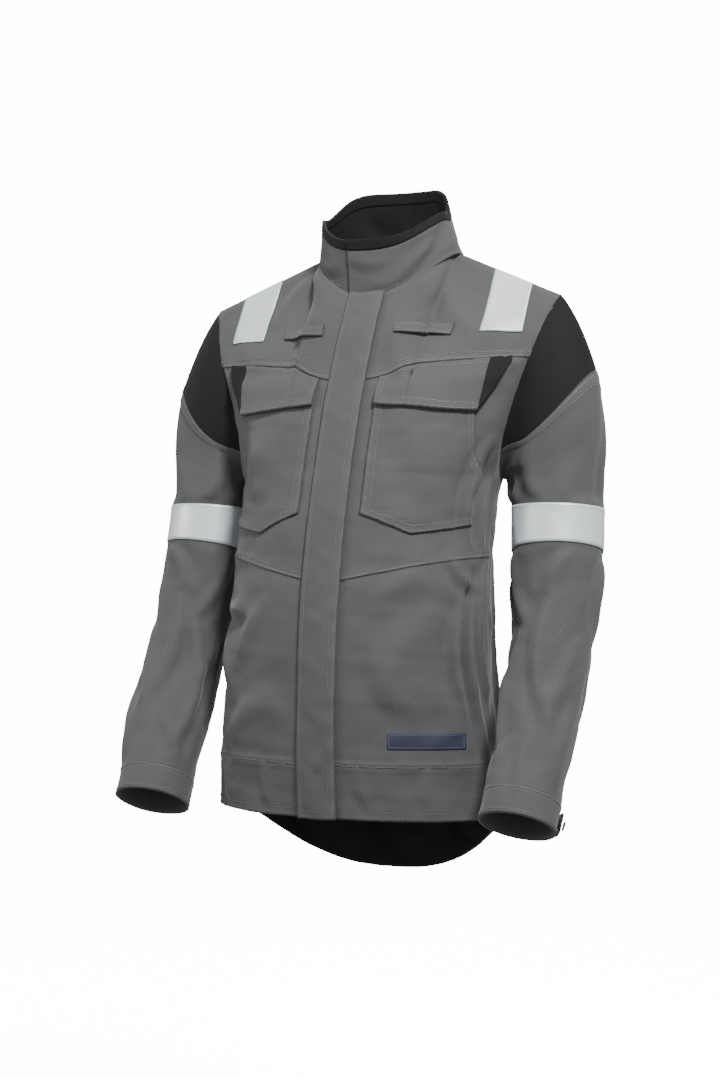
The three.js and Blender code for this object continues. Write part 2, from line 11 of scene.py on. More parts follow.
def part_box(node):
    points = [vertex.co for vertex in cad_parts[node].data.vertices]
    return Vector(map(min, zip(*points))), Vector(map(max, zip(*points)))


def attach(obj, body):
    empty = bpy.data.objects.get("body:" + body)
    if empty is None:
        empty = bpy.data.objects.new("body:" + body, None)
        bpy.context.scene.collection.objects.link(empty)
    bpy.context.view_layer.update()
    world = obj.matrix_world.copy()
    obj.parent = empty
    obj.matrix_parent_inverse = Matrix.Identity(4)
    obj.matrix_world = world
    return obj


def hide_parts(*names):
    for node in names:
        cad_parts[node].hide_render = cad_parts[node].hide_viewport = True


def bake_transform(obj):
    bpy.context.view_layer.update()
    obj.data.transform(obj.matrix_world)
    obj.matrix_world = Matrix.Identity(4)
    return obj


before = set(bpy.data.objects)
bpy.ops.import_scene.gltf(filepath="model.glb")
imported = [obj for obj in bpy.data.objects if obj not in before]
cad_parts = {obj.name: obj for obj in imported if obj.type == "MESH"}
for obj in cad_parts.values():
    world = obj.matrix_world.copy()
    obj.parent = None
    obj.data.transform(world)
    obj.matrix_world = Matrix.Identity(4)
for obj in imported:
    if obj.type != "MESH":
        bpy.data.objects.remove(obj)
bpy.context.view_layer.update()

# ------------------------------------------------------------------ camera
# One camera a little below the middle of the jacket, off its left front.
# The jacket's own heights are counted from the front hem, in millimetres.
MM = 0.001
FRONT = -1
BACK = 1
FRONT_MOST_Y = -109  # the closed front edge's furthest point forward, from the waist's middle
TEETH_HALF_THICK = 1.5

hem_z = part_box("hem_band_left")[0][2]
waist_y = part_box("zip_teeth_left")[0][1] - (FRONT_MOST_Y - TEETH_HALF_THICK) * MM
ORIGIN = np.array([0.0, waist_y, hem_z])

CAMERA_AZIMUTH = math.radians(24.0)
CAMERA_PITCH = math.radians(-1.3)
CAMERA_ROLL = math.radians(0.9)
CAMERA_AWAY = 2200 * MM
CAMERA_AIM = (0.0, 0.0, 312 * MM)
CAMERA_LENS = 63.1

camera = bpy.data.objects.new("camera", bpy.data.cameras.new("camera"))
bpy.context.scene.collection.objects.link(camera)
camera.data.sensor_fit = "VERTICAL"
camera.data.sensor_height = 36
camera.data.lens = CAMERA_LENS
camera.data.clip_end = 60
away = Vector(
    (
        math.sin(CAMERA_AZIMUTH) * math.cos(CAMERA_PITCH),
        -math.cos(CAMERA_AZIMUTH) * math.cos(CAMERA_PITCH),
        math.sin(CAMERA_PITCH),
    )
)
aim = Vector(ORIGIN) + Vector(CAMERA_AIM)
turn = away.to_track_quat("Z", "Y").to_matrix().to_4x4() @ Matrix.Rotation(CAMERA_ROLL, 4, "Z")
camera.matrix_world = Matrix.Translation(aim + away * CAMERA_AWAY) @ turn
bpy.context.scene.camera = camera

# ------------------------------------------------------------------ studio
# A white sheet under and behind the jacket, a pale world and three soft lamps.
FLOOR_Z = ORIGIN[2] - 0.62


def linear(hex_colour):
    """An sRGB hex colour as linear red, green, blue and alpha."""
    channels = [int(hex_colour[i : i + 2], 16) / 255 for i in (1, 3, 5)]
    return [c / 12.92 if c <= 0.04045 else ((c + 0.055) / 1.055) ** 2.4 for c in channels] + [1.0]


def node(tree, kind, links=(), **settings):
    """Add a node, set its properties or sockets, and link (from socket, to input) pairs to it."""
    made = tree.nodes.new(kind)
    for name, value in settings.items():
        if hasattr(made, name):
            setattr(made, name, value)
        else:
            made.inputs[name.replace("_", " ")].default_value = value
    for source, target in links:
        tree.links.new(source, made.inputs[target])
    return made


def new_material(name):
    material = bpy.data.materials.new(name)
    material.use_nodes = True
    tree = material.node_tree
    return material, tree, tree.nodes["Principled BSDF"]


# One white sheet, lit evenly and curved up behind the jacket. Its light stays off the cloth.
SHEET_GLOW = 14
SHEET_FLAT = 12.0  # metres of flat floor behind the jacket, before the sheet curves up
SHEET_BEND = 3.0
sheet_mesh = bmesh.new()
bmesh.ops.create_grid(sheet_mesh, x_segments=1, y_segments=40, size=24)
for vert in sheet_mesh.verts:
    along = vert.co.y
    past = max(along - SHEET_FLAT, 0)
    bent = min(past / SHEET_BEND, 1) * math.pi / 2
    vert.co.y = min(along, SHEET_FLAT) + SHEET_BEND * math.sin(bent)
    vert.co.z = FLOOR_Z + SHEET_BEND * (1 - math.cos(bent)) + max(past - SHEET_BEND, 0)
sheet_data = bpy.data.meshes.new("backdrop")
sheet_mesh.to_mesh(sheet_data)
backdrop = bpy.data.objects.new("backdrop", sheet_data)
backdrop.rotation_euler.z = CAMERA_AZIMUTH
backdrop.location.xy = aim.xy
backdrop.visible_diffuse = False
backdrop.visible_glossy = False
bpy.context.scene.collection.objects.link(backdrop)
paper, _, paper_shader = new_material("studio_paper")
paper_shader.inputs["Base Color"].default_value = linear("#F4F4F4")
paper_shader.inputs["Roughness"].default_value = 0.9
paper_shader.inputs["Emission Color"].default_value = linear("#FFFFFF")
paper_shader.inputs["Emission Strength"].default_value = SHEET_GLOW
sheet_data.materials.append(paper)

world = bpy.data.worlds.new("studio")
bpy.context.scene.world = world
world.use_nodes = True
world.node_tree.nodes["Background"].inputs["Color"].default_value = linear("#FFFFFF")
world.node_tree.nodes["Background"].inputs["Strength"].default_value = 0.8

LAMPS = [
    ("key", (1.5, -1.5, 2.4), 0.6, 250),
    ("fill", (-2.6, -1.8, 0.8), 1.0, 60),
    ("back", (-0.6, 2.4, 1.6), 1.4, 60),
]
for name, place, size, watts in LAMPS:
    lamp = bpy.data.objects.new(name, bpy.data.lights.new(name, "AREA"))
    lamp.data.size = size
    lamp.data.energy = watts
    lamp.location = Vector(place) + aim
    lamp.rotation_euler = (lamp.location - aim).to_track_quat("Z", "Y").to_euler()
    bpy.context.scene.collection.objects.link(lamp)

# ------------------------------------------------------------------ twill
# Fire-retardant cotton twill: a matt woven face with a fine diagonal rib, and slubs in the yarn.
# The rib is really about 0.9 mm wide; it is drawn at 2.2 mm, since the true one would not show.
RIB = 2.2 * MM
SLUB = 1.6 * MM
RIB_LEAN = math.radians(63)
WAVE_TURNS = 20  # a wave texture's bands repeat every 2 pi / 20 of its scaled coordinate
SEAM_REACH = 12.0  # millimetres over which a piece's seam attribute goes from 0 to 1


def mixed(tree, blend, share, first, second):
    """A colour mix node, with a socket or a value for its share and for each of its colours."""
    made = node(tree, "ShaderNodeMix", data_type="RGBA", blend_type=blend)
    for socket, value in ((0, share), (6, first), (7, second)):
        if isinstance(value, bpy.types.NodeSocket):
            tree.links.new(value, made.inputs[socket])
        else:
            made.inputs[socket].default_value = value
    return made.outputs[2]


def grey(value):
    return (value, value, value, 1)


def twill(name, colour, rough, sheen, mottle, rubbed):
    material, tree, shader = new_material(name)
    cloth_map = node(tree, "ShaderNodeUVMap", uv_map="cloth")
    leaning = node(
        tree, "ShaderNodeMapping", [(cloth_map.outputs["UV"], "Vector")], Rotation=(0, 0, RIB_LEAN)
    )
    rib = node(
        tree, "ShaderNodeTexWave", [(leaning.outputs["Vector"], "Vector")],
        Scale=2 * math.pi / (WAVE_TURNS * RIB), Distortion=0.8, Detail=1.0, Detail_Scale=1.5,
    )
    slub = node(
        tree, "ShaderNodeTexNoise", [(cloth_map.outputs["UV"], "Vector")], Scale=1 / SLUB, Detail=2.0
    )
    place = node(tree, "ShaderNodeTexCoord")
    cloud = node(
        tree, "ShaderNodeTexNoise", [(place.outputs["Object"], "Vector")], Scale=16.0, Detail=4.0
    )
    base = linear(colour)
    dark = [c * (1 - mottle) for c in base[:3]] + [1]
    pale = [c * (1 + mottle) for c in base[:3]] + [1]
    dyed = mixed(tree, "MIX", cloud.outputs["Fac"], dark, pale)
    slubbed = mixed(tree, "MULTIPLY", slub.outputs["Fac"], dyed, grey(0.78))
    rib_share = node(tree, "ShaderNodeMath", [(rib.outputs["Fac"], 0)], operation="MULTIPLY")
    rib_share.inputs[1].default_value = 0.3
    ribbed = mixed(tree, "MULTIPLY", rib_share.outputs[0], slubbed, grey(0.45))
    # Painted shade darkens the last millimetre at a cut edge, and the fold beside it is rubbed paler.
    seam = node(tree, "ShaderNodeAttribute", attribute_name="seam")
    ramp = node(tree, "ShaderNodeValToRGB", [(seam.outputs["Fac"], "Fac")])
    ramp.color_ramp.elements[0].color = grey(0.5)
    ramp.color_ramp.elements[1].color = grey(1.0)
    for spot, value in ((0.10, 0.8), (0.16, 1 + rubbed), (0.45, 1 + rubbed / 3), (0.7, 0.97)):
        ramp.color_ramp.elements.new(spot).color = grey(value)
    edge_shaded_and_rubbed = mixed(tree, "MULTIPLY", 1.0, ribbed, ramp.outputs["Color"])
    tree.links.new(edge_shaded_and_rubbed, shader.inputs["Base Color"])
    height = node(
        tree, "ShaderNodeMath", [(rib.outputs["Fac"], 0), (slub.outputs["Fac"], 1)], operation="ADD"
    )
    bump = node(
        tree, "ShaderNodeBump", [(height.outputs[0], "Height")], Strength=0.35, Distance=0.5 * MM
    )
    tree.links.new(bump.outputs["Normal"], shader.inputs["Normal"])
    rough_spread = node(
        tree, "ShaderNodeMapRange", [(slub.outputs["Fac"], "Value")], To_Min=rough - 0.06,
        To_Max=rough + 0.05,
    )
    tree.links.new(rough_spread.outputs["Result"], shader.inputs["Roughness"])
    shader.inputs["Sheen Weight"].default_value = sheen
    shader.inputs["Sheen Roughness"].default_value = 0.45
    shader.inputs["Specular IOR Level"].default_value = 0.22
    return material


GREY_TWILL = twill("grey_twill", "#424344", 0.86, 0.10, 0.12, 0.16)
BLACK_TWILL = twill("black_twill", "#080809", 0.84, 0.02, 0.18, 0.25)

# ------------------------------------------------------------------ torso surface
# Every body panel is cut from one curved surface: a runs from -1 at the right side seam to 1 at
# the left, h is the height above the front hem, and side is FRONT or BACK. Millimetres.
BACK = 1
SHOULDER_Z = 595
NECK_SIDE_Z = 654
NECK_FRONT_Z = 598
NECK_BACK_Z = 668
SHOULDER_HALF = 221
HEM_HALF = 168
WAIST_HALF = 155
SHOULDER_Y = 60
FRONT_RADIUS = 953
FRONT_MOST_Z = 131
NECK_HALF = 86
NECK_DEEP = 62
NECK_Y = 75
TAIL_DROP = 80
HEM_BAND = 62
WAIST_SEAM = 258
WAIST_RISE = 34
YOKE_SEAM = 490
YOKE_RISE = 30
BACK_YOKE_SEAM = 470
ARMHOLE_Z = 490
ARMHOLE_TALL = 105
ARMHOLE_LOW = ARMHOLE_Z - ARMHOLE_TALL
ARMHOLE_DEEP = 48
RISE_START = 440
BOX = 2.3
ARC = 230  # millimetres of cloth in one unit of a, about
CLOTH = 2.0  # the outer face of a panel stands this far off the surface
CLOTH_THICK = 1.3


def curve(stations, steps=200):
    """Points along the smooth curve through stations, as a draughtsman's spline."""
    points = np.array(stations, float)
    ends = np.vstack([2 * points[0] - points[1], points, 2 * points[-1] - points[-2]])
    made = []
    for i in range(len(points) - 1):
        p = ends[i : i + 4]
        gap = np.linalg.norm(np.diff(p, axis=0), axis=1) ** 0.5
        leave = (p[1] - p[0]) / gap[0] - (p[2] - p[0]) / (gap[0] + gap[1]) + (p[2] - p[1]) / gap[1]
        reach = (p[2] - p[1]) / gap[1] - (p[3] - p[1]) / (gap[1] + gap[2]) + (p[3] - p[2]) / gap[2]
        leave, reach = leave * gap[1], reach * gap[1]
        t = np.linspace(0, 1, steps, endpoint=i == len(points) - 2)[:, None]
        bend = -3 * p[1] + 3 * p[2] - 2 * leave - reach
        made.append(p[1] + leave * t + bend * t**2 + (2 * p[1] - 2 * p[2] + leave + reach) * t**3)
    return np.vstack(made)


def through(stations):
    places, values = curve(stations).T
    return lambda at: np.interp(at, places, values)


def smooth(x, low, high):
    t = np.clip((x - low) / (high - low), 0, 1)
    return t * t * (3 - 2 * t)


def lerp(low, high, t):
    return low + (high - low) * t


half_width = through(
    [(-TAIL_DROP, HEM_HALF), (0, HEM_HALF), (WAIST_SEAM, WAIST_HALF), (ARMHOLE_LOW, WAIST_HALF),
     (ARMHOLE_Z, WAIST_HALF + 31), (SHOULDER_Z, SHOULDER_HALF)]
)
side_line = through(
    [(-TAIL_DROP, 5), (WAIST_SEAM, 8), (ARMHOLE_LOW, 38), (ARMHOLE_Z, 68), (SHOULDER_Z, SHOULDER_Y)]
)
back_line = through(
    [(-TAIL_DROP, 100), (WAIST_SEAM, 98), (400, 125), (ARMHOLE_Z, 150), (NECK_BACK_Z - 60, 156),
     (NECK_BACK_Z, NECK_Y + NECK_DEEP)]
)


def front_line(z):
    return FRONT_MOST_Y + FRONT_RADIUS - np.sqrt(FRONT_RADIUS**2 - (z - FRONT_MOST_Z) ** 2)


def armhole_open(h):
    return ARMHOLE_DEEP * np.maximum(0, 1 - ((h - ARMHOLE_Z) / ARMHOLE_TALL) ** 2)


def top_edge(t, side):
    """Depth and height of the neckline and shoulder seam at a share t of the shoulder width."""
    neck = np.minimum(t * SHOULDER_HALF / NECK_HALF, 1)
    low = NECK_FRONT_Z if side == FRONT else NECK_BACK_Z
    along = np.clip((t * SHOULDER_HALF - NECK_HALF) / (SHOULDER_HALF - NECK_HALF), 0, 1)
    in_neck = t * SHOULDER_HALF < NECK_HALF
    neck_y = NECK_Y + side * NECK_DEEP * np.sqrt(1 - neck**2)
    y = np.where(in_neck, neck_y, lerp(NECK_Y, SHOULDER_Y, along))
    z = np.where(in_neck, lerp(low, NECK_SIDE_Z, neck**2), lerp(NECK_SIDE_Z, SHOULDER_Z, along))
    return y, z


def unshaped_y(t, h, z, side):
    edge = side_line(h) + side * armhole_open(h)
    ridge = front_line(z) if side == FRONT else back_line(z)
    flat = lerp(0.5, 0.8, smooth(h, ARMHOLE_LOW, ARMHOLE_Z))
    return lerp(edge, ridge, np.maximum(0, 1 - t**BOX) ** flat)


def share_of(a):
    return np.abs(np.sin(a * math.pi / 2))


def torso_smooth(a, h, side):
    share = np.sin(a * math.pi / 2)
    t = np.abs(share)
    top_y, top_z = top_edge(t, side)
    rise = smooth(h, RISE_START, SHOULDER_Z)
    z = h + (top_z - SHOULDER_Z) * rise
    y = unshaped_y(t, h, z, side) + rise * (top_y - unshaped_y(t, SHOULDER_Z, top_z, side))
    return np.stack([share * half_width(h), y, z], -1)


def at_x(x, h):
    return np.arcsin(np.clip(x / half_width(h), -1, 1)) * 2 / math.pi


def height_at(a, z, side):
    """The h at which the line up the torso at a reaches the true height z."""
    low, high = np.zeros_like(a), np.full_like(a, SHOULDER_Z)
    for _ in range(20):
        middle = (low + high) / 2
        under = torso_smooth(a, middle, side)[..., 2] < z
        low, high = np.where(under, middle, low), np.where(under, high, middle)
    return (low + high) / 2


def waist_seam(a):
    return WAIST_SEAM + WAIST_RISE * share_of(a)


def yoke_seam(a):
    return YOKE_SEAM + YOKE_RISE * share_of(a) ** 2


def tail_edge(a):
    return -TAIL_DROP * (1 - share_of(a) ** 2.5)


# ------------------------------------------------------------------ folds
# The jacket hangs closed and empty, so the cloth falls in long soft folds from the shoulders,
# breaks at the waist, and gathers a little wherever a row of stitches holds it.
# Each fold runs between two places on the cloth, and has a half width and a height.
FRONT_FOLDS = [
    (206, 285, 214, 60, 8, 5.0), (190, 280, 196, 90, 7, -4.0), (221, 300, 225, 120, 7, 4.5),
    (172, 250, 178, 110, 10, 3.0), (186, 430, 174, 300, 8, 4.0), (202, 420, 192, 300, 7, -3.5),
    (214, 400, 206, 290, 7, 4.0), (140, 300, 205, 255, 8, 3.0), (120, 270, 60, 235, 12, 2.0),
    (-206, 290, -212, 70, 9, 5.0), (-188, 270, -192, 90, 8, -4.0), (-172, 230, -120, 120, 16, 3.0),
    (-198, 440, -178, 320, 8, 4.0), (-210, 420, -198, 300, 7, -3.5), (-205, 250, -90, 235, 10, 3.0),
    (-60, 240, -110, 170, 14, 2.5), (60, 190, 120, 110, 16, 2.5), (44, 58, 60, 8, 7, 1.4),
    (-60, 58, -52, 6, 7, 1.4), (120, 58, 126, 6, 10, 1.5), (-130, 58, -126, 6, 10, 1.5),
    (40, 585, 110, 530, 10, 3.0), (34, 570, 60, 480, 8, 2.2), (-40, 585, -100, 540, 10, 2.6),
    (-34, 560, -60, 480, 8, 2.0), (160, 548, 90, 500, 12, 2.0), (-160, 548, -90, 505, 12, 2.0),
    (205, 520, 150, 480, 9, 2.2), (-205, 520, -150, 480, 9, 2.2), (100, 440, 120, 350, 24, 3.4),
    (-90, 440, -110, 350, 24, 3.4), (60, 400, 66, 340, 16, 2.0), (150, 230, 60, 130, 22, 2.6),
    (-40, 130, -130, 70, 16, 2.2),
]
BACK_FOLDS = [
    (-60, 440, -90, 200, 20, 5.0), (70, 430, 96, 180, 20, 5.0), (0, 400, 6, 120, 24, 4.0),
    (-190, 420, -130, 330, 12, 5.0), (190, 420, 130, 330, 12, 5.0), (-200, 300, -206, 60, 10, 6.0),
    (200, 300, 206, 60, 10, 6.0), (-150, 260, -40, 230, 12, 4.0), (150, 255, 50, 235, 12, 4.0),
    (-160, 200, -60, 160, 14, 3.0), (120, 190, 30, 150, 14, 3.0), (-120, 560, -40, 500, 14, 3.0),
    (120, 560, 40, 500, 14, 3.0), (-100, 60, -104, -40, 12, 3.0), (90, 60, 96, -40, 12, 3.0),
    (0, 40, 0, -60, 14, 3.0), (-175, 380, -150, 120, 11, 4.0), (175, 380, 150, 120, 11, 4.0),
]


FOLD_DEPTH = 1.5


def folds(x, y, strokes):
    """Heights of all the folds at the places x, y: a ridge each, with a hollow on one side."""
    total = np.zeros(np.broadcast(x, y).shape)
    for x0, y0, x1, y1, wide, tall in strokes:
        dx, dy = x1 - x0, y1 - y0
        length = math.hypot(dx, dy)
        along = ((x - x0) * dx + (y - y0) * dy) / length**2
        bowed = 0.12 * length * np.sin(np.clip(along, 0, 1) * math.pi)
        across = (((x - x0) * dy - (y - y0) * dx) / length - bowed) / wide
        taper = np.sin(np.clip(along, 0, 1) * math.pi) ** 0.8
        total += tall * taper * (np.exp(-(across**2)) - 0.55 * np.exp(-((across - 1.6) ** 2) / 0.8))
    return total


def wander(x, y, grain, seed):
    """A gentle unevenness of about one unit, from a few crossing waves."""
    total = np.zeros(np.broadcast(x, y).shape)
    for i in range(6):
        lean = 0.7 + seed * 1.3 + i * 1.1
        reach = grain * (0.7 + 0.23 * i)
        bent = x * math.cos(lean) + y * math.sin(lean) + 0.2 * reach * np.sin(y / reach * 4 + i)
        total += np.sin(bent / reach * 2 * math.pi + i * 1.9 + seed)
    return total / 3


def pucker(along, from_seam, tall=0.4):
    """Small gathers that a row of stitches pulls into the cloth beside it."""
    wave = np.sin(along / 4.6 + 1.7 * np.sin(along / 31)) + 0.5 * np.sin(along / 2.3 + 1)
    return tall * wave * np.exp(-((from_seam / 8.0) ** 2))


def relief(a, h, side):
    """How far the cloth stands off the smooth torso."""
    x = a * ARC
    calm = smooth(np.abs(x), 14, 50) if side == FRONT else 1.0
    out = FOLD_DEPTH * folds(x, h, FRONT_FOLDS if side == FRONT else BACK_FOLDS)
    out = out + 1.6 * wander(x, h, 120, 1 + side) + 0.7 * wander(x, h, 47, 3)
    out = out * lerp(0.25, 1, calm)
    if side == FRONT:
        out = out + pucker(x, h - waist_seam(a)) + pucker(x + 9, h - yoke_seam(a))
        out = out + pucker(x, h - HEM_BAND) + pucker(x + 5, h - 4)
    else:
        out = out + pucker(x, h - BACK_YOKE_SEAM) + pucker(x, h - HEM_BAND - tail_edge(a))
        out = out + pucker(x + 5, h - 4 - tail_edge(a))
    return out * smooth(1 - np.abs(a), 0, 0.06) * smooth(SHOULDER_Z - h, 0, 25)


def torso(a, h, side, lift=0.0):
    """The place on the cloth at a, h, stood off by lift millimetres, in metres in the frame."""
    d = 0.003
    safe = np.clip(a, -1 + d, 1 - d)
    across = torso_smooth(safe + d, h, side) - torso_smooth(safe - d, h, side)
    up = torso_smooth(safe, h + 1, side) - torso_smooth(safe, h - 1, side)
    out = -side * np.cross(across, up)
    out /= np.linalg.norm(out, axis=-1, keepdims=True)
    stand = (relief(a, h, side) + lift)[..., None]
    return (torso_smooth(a, h, side) + out * stand) * MM + ORIGIN


# ------------------------------------------------------------------ body panels
# Front and back yokes, chest panels, lower fronts and hem bands: cut cloth, felled at the seams,
# where the panel above laps a few millimetres over the one below and the doubled edge stands up.
LAP = 4.0
LAP_RISE = 0.8
HANDS = (("left", 1), ("right", -1))


def lap(over):
    """Extra height beside a lapped seam, over being the distance into the panel on top."""
    top = LAP_RISE * (1 - smooth(over, 7, 10))
    return np.where(over >= 0, top, -0.5 * (1 - smooth(-over, 0, LAP)))


def panel_lift(a, h, side):
    if side == FRONT:
        return CLOTH + lap(h - yoke_seam(a)) + lap(h - waist_seam(a)) + lap(HEM_BAND - h)
    return CLOTH + lap(h - BACK_YOKE_SEAM) + lap(HEM_BAND + tail_edge(a) - h)


def finish_mesh(name, bm, material, node_names=(), body="torso"):
    mesh = bpy.data.meshes.new(name)
    bm.to_mesh(mesh)
    bm.free()
    piece = bpy.data.objects.new(name, mesh)
    bpy.context.scene.collection.objects.link(piece)
    mesh.materials.append(material)
    if body:
        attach(piece, body)
    if node_names:
        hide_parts(*node_names)
    return piece


def cloth_piece(name, steps, shape, material, node_names=(), body="torso", thick=CLOTH_THICK,
                closed=False, declare=True):
    """A sheet over a grid: shape(u, v, lift) gives each point's place in metres, its place on the
    flat cloth in millimetres, and its distance from the nearest cut edge."""
    bm = bmesh.new()
    bmesh.ops.create_grid(bm, x_segments=steps[0], y_segments=steps[1], size=0.5)
    u, v = (np.array([vert.co[:2] for vert in bm.verts]) + 0.5).T
    face, flat, edge = shape(u, v, 0.0)
    lifted = shape(u, v, 1.0)[0]
    rows = face[np.lexsort((u, v))].reshape(steps[1] + 1, steps[0] + 1, 3)
    width = np.linalg.norm(np.diff(rows, axis=1), axis=2).sum(axis=1).max()
    length = np.linalg.norm(np.diff(rows, axis=0), axis=2).sum(axis=0).max()
    cloth_map = bm.loops.layers.uv.new("cloth")
    seam = bm.verts.layers.float.new("seam")
    for vert, place, away in zip(bm.verts, face, np.clip(edge / SEAM_REACH, 0, 1)):
        vert.co = place
        vert[seam] = away
    for square in bm.faces:
        square.smooth = True
        for loop in square.loops:
            loop[cloth_map].uv = flat[loop.vert.index] * MM
    bm.normal_update()
    middle = min(bm.verts, key=lambda vert: abs(u[vert.index] - 0.5) + abs(v[vert.index] - 0.5))
    if middle.normal.dot(Vector(lifted[middle.index] - face[middle.index])) < 0:
        bmesh.ops.reverse_faces(bm, faces=bm.faces)
    if closed:
        bmesh.ops.remove_doubles(bm, verts=bm.verts, dist=0.01 * MM)
    area = sum(square.calc_area() for square in bm.faces)
    piece = finish_mesh(name, bm, material, node_names, body)
    wall = piece.modifiers.new("thickness", "SOLIDIFY")
    wall.thickness = thick * MM
    wall.offset = -1
    if declare:
        area = min(area, width * length)
    return piece


def nearest(*distances):
    made = distances[0]
    for distance in distances[1:]:
        made = np.minimum(made, distance)
    return np.abs(made)


ZIP_GAP = 8
STEP = 3.0  # millimetres between the points of a panel


def panel(name, side, across, heights, under, over, material=GREY_TWILL,
          lift=None):
    """A body panel between across = (a0, a1) and heights = (low, high), all functions. Its cloth
    runs on by under millimetres below and over millimetres above, beneath its neighbours."""
    (a0, a1), (low, high) = across, heights

    def shape(u, v, off):
        guess = lerp(low(0.0), high(0.0), v)
        a = lerp(a0(guess), a1(guess), u)
        h = lerp(low(a) - under, high(a) + over, v)
        edge = nearest(h - low(a), high(a) - h, np.abs(a - a0(guess)) * ARC, np.abs(a1(guess) - a) * ARC)
        stand = panel_lift(a, h, side) if lift is None else lift
        return torso(a, h, side, stand + off), np.stack([a * ARC, h], -1), edge

    tall = high(0.0) - low(0.0)
    wide = abs(a1(0.0) - a0(0.0)) * ARC
    steps = (max(4, round(wide / STEP)), max(4, round(tall / STEP)))
    return cloth_piece(f"{name}_cloth", steps, shape, material, [name])


def level(value):
    return lambda a: value + 0 * a


for hand, sign in HANDS:
    across = (lambda h, s=sign: s * at_x(ZIP_GAP, h), lambda h, s=sign: s + 0 * h)
    panel(f"front_yoke_{hand}", FRONT, across, (yoke_seam, level(SHOULDER_Z)), 0, 0)
    panel(f"chest_panel_{hand}", FRONT, across, (waist_seam, yoke_seam), 0, LAP)
    panel(f"lower_front_{hand}", FRONT, across, (level(HEM_BAND), waist_seam), LAP, LAP)
    panel(f"hem_band_{hand}", FRONT, across, (level(0), level(HEM_BAND)), 0, 0)

back_across = (lambda h: -1 + 0 * h, lambda h: 1 + 0 * h)
panel("back_yoke", BACK, back_across, (level(BACK_YOKE_SEAM), level(SHOULDER_Z)), 0, 0)
panel("back_panel", BACK, back_across,
      (lambda a: tail_edge(a) + HEM_BAND, level(BACK_YOKE_SEAM)), LAP, LAP)
panel("hem_band_back", BACK, back_across, (tail_edge, lambda a: tail_edge(a) + HEM_BAND), 0, 0)

# Black facing inside the dropped tail, which shows below the front hem.
panel("tail_lining", BACK, back_across, (lambda a: tail_edge(a) + 1, level(40)), 0, 0,
      BLACK_TWILL, lift=-0.6)

# ------------------------------------------------------------------ stitching thread
# Dark grey polyester-cotton thread, in rows of short stitches along every seam and edge.
# Stitches are 3 mm apart, a third longer than the real ones.
STITCH_PITCH = 3.2
STITCH = (2.3 * MM, 0.55 * MM, 0.4 * MM)
thread, thread_tree, thread_shader = new_material("stitching_thread")
thread_place = node(thread_tree, "ShaderNodeTexCoord")
thread_noise = node(
    thread_tree, "ShaderNodeTexNoise", [(thread_place.outputs["Object"], "Vector")], Scale=900.0
)
thread_colour = mixed(
    thread_tree, "MIX", thread_noise.outputs["Fac"], linear("#3C3D3E"), linear("#565859")
)
thread_tree.links.new(thread_colour, thread_shader.inputs["Base Color"])
thread_shader.inputs["Roughness"].default_value = 0.6


def stitch_row(bm, surface, route, lift):
    """Stitches along route, a list of (s, t) points on surface(s, t, lift)."""
    route = np.array(route, float)
    spans = len(route) - 1
    t = np.linspace(0, spans, spans * 60 + 1)
    s0 = np.interp(t, np.arange(spans + 1), route[:, 0])
    s1 = np.interp(t, np.arange(spans + 1), route[:, 1])
    places = surface(s0, s1, lift)
    outs = surface(s0, s1, lift + 1.0) - places
    run = np.concatenate([[0], np.cumsum(np.linalg.norm(np.diff(places, axis=0), axis=1))])
    spots = np.arange(STITCH_PITCH * MM / 2, run[-1], STITCH_PITCH * MM)
    for spot in spots:
        here, there = (
            Vector([np.interp(spot + d, run, places[:, i]) for i in range(3)])
            for d in (-STITCH[0] / 2, STITCH[0] / 2)
        )
        out = Vector([np.interp(spot, run, outs[:, i]) for i in range(3)]).normalized()
        along = (there - here).normalized()
        side = out.cross(along).normalized()
        turned = Matrix((along * STITCH[0], side * STITCH[1], out * STITCH[2])).transposed().to_4x4()
        bmesh.ops.create_cube(bm, size=1, matrix=Matrix.Translation((here + there) / 2) @ turned)


torso_thread = bmesh.new()
front_face = lambda a, h, lift: torso(a, h, FRONT, panel_lift(a, h, FRONT) + lift)
back_face = lambda a, h, lift: torso(a, h, BACK, panel_lift(a, h, BACK) + lift)


def seam_row(face, height, a0, a1, off, points=14):
    stitch_row(torso_thread, face, [(a, height(a) + off) for a in np.linspace(a0, a1, points)], 0.05)


for hand, sign in HANDS:
    start = sign * 0.11
    for off in (1.8, 7.0):
        seam_row(front_face, yoke_seam, start, sign * 0.99, off)
        seam_row(front_face, waist_seam, start, sign * 0.99, off)
        seam_row(back_face, level(BACK_YOKE_SEAM), 0.0, sign * 0.99, off)
    seam_row(front_face, level(HEM_BAND), start, sign * 0.99, -2.2)
    seam_row(front_face, level(0), start, sign * 0.99, 9.0)
    seam_row(back_face, tail_edge, 0.0, sign * 0.99, HEM_BAND - 2.2, 24)
    seam_row(back_face, tail_edge, 0.0, sign * 0.99, 9.0, 24)

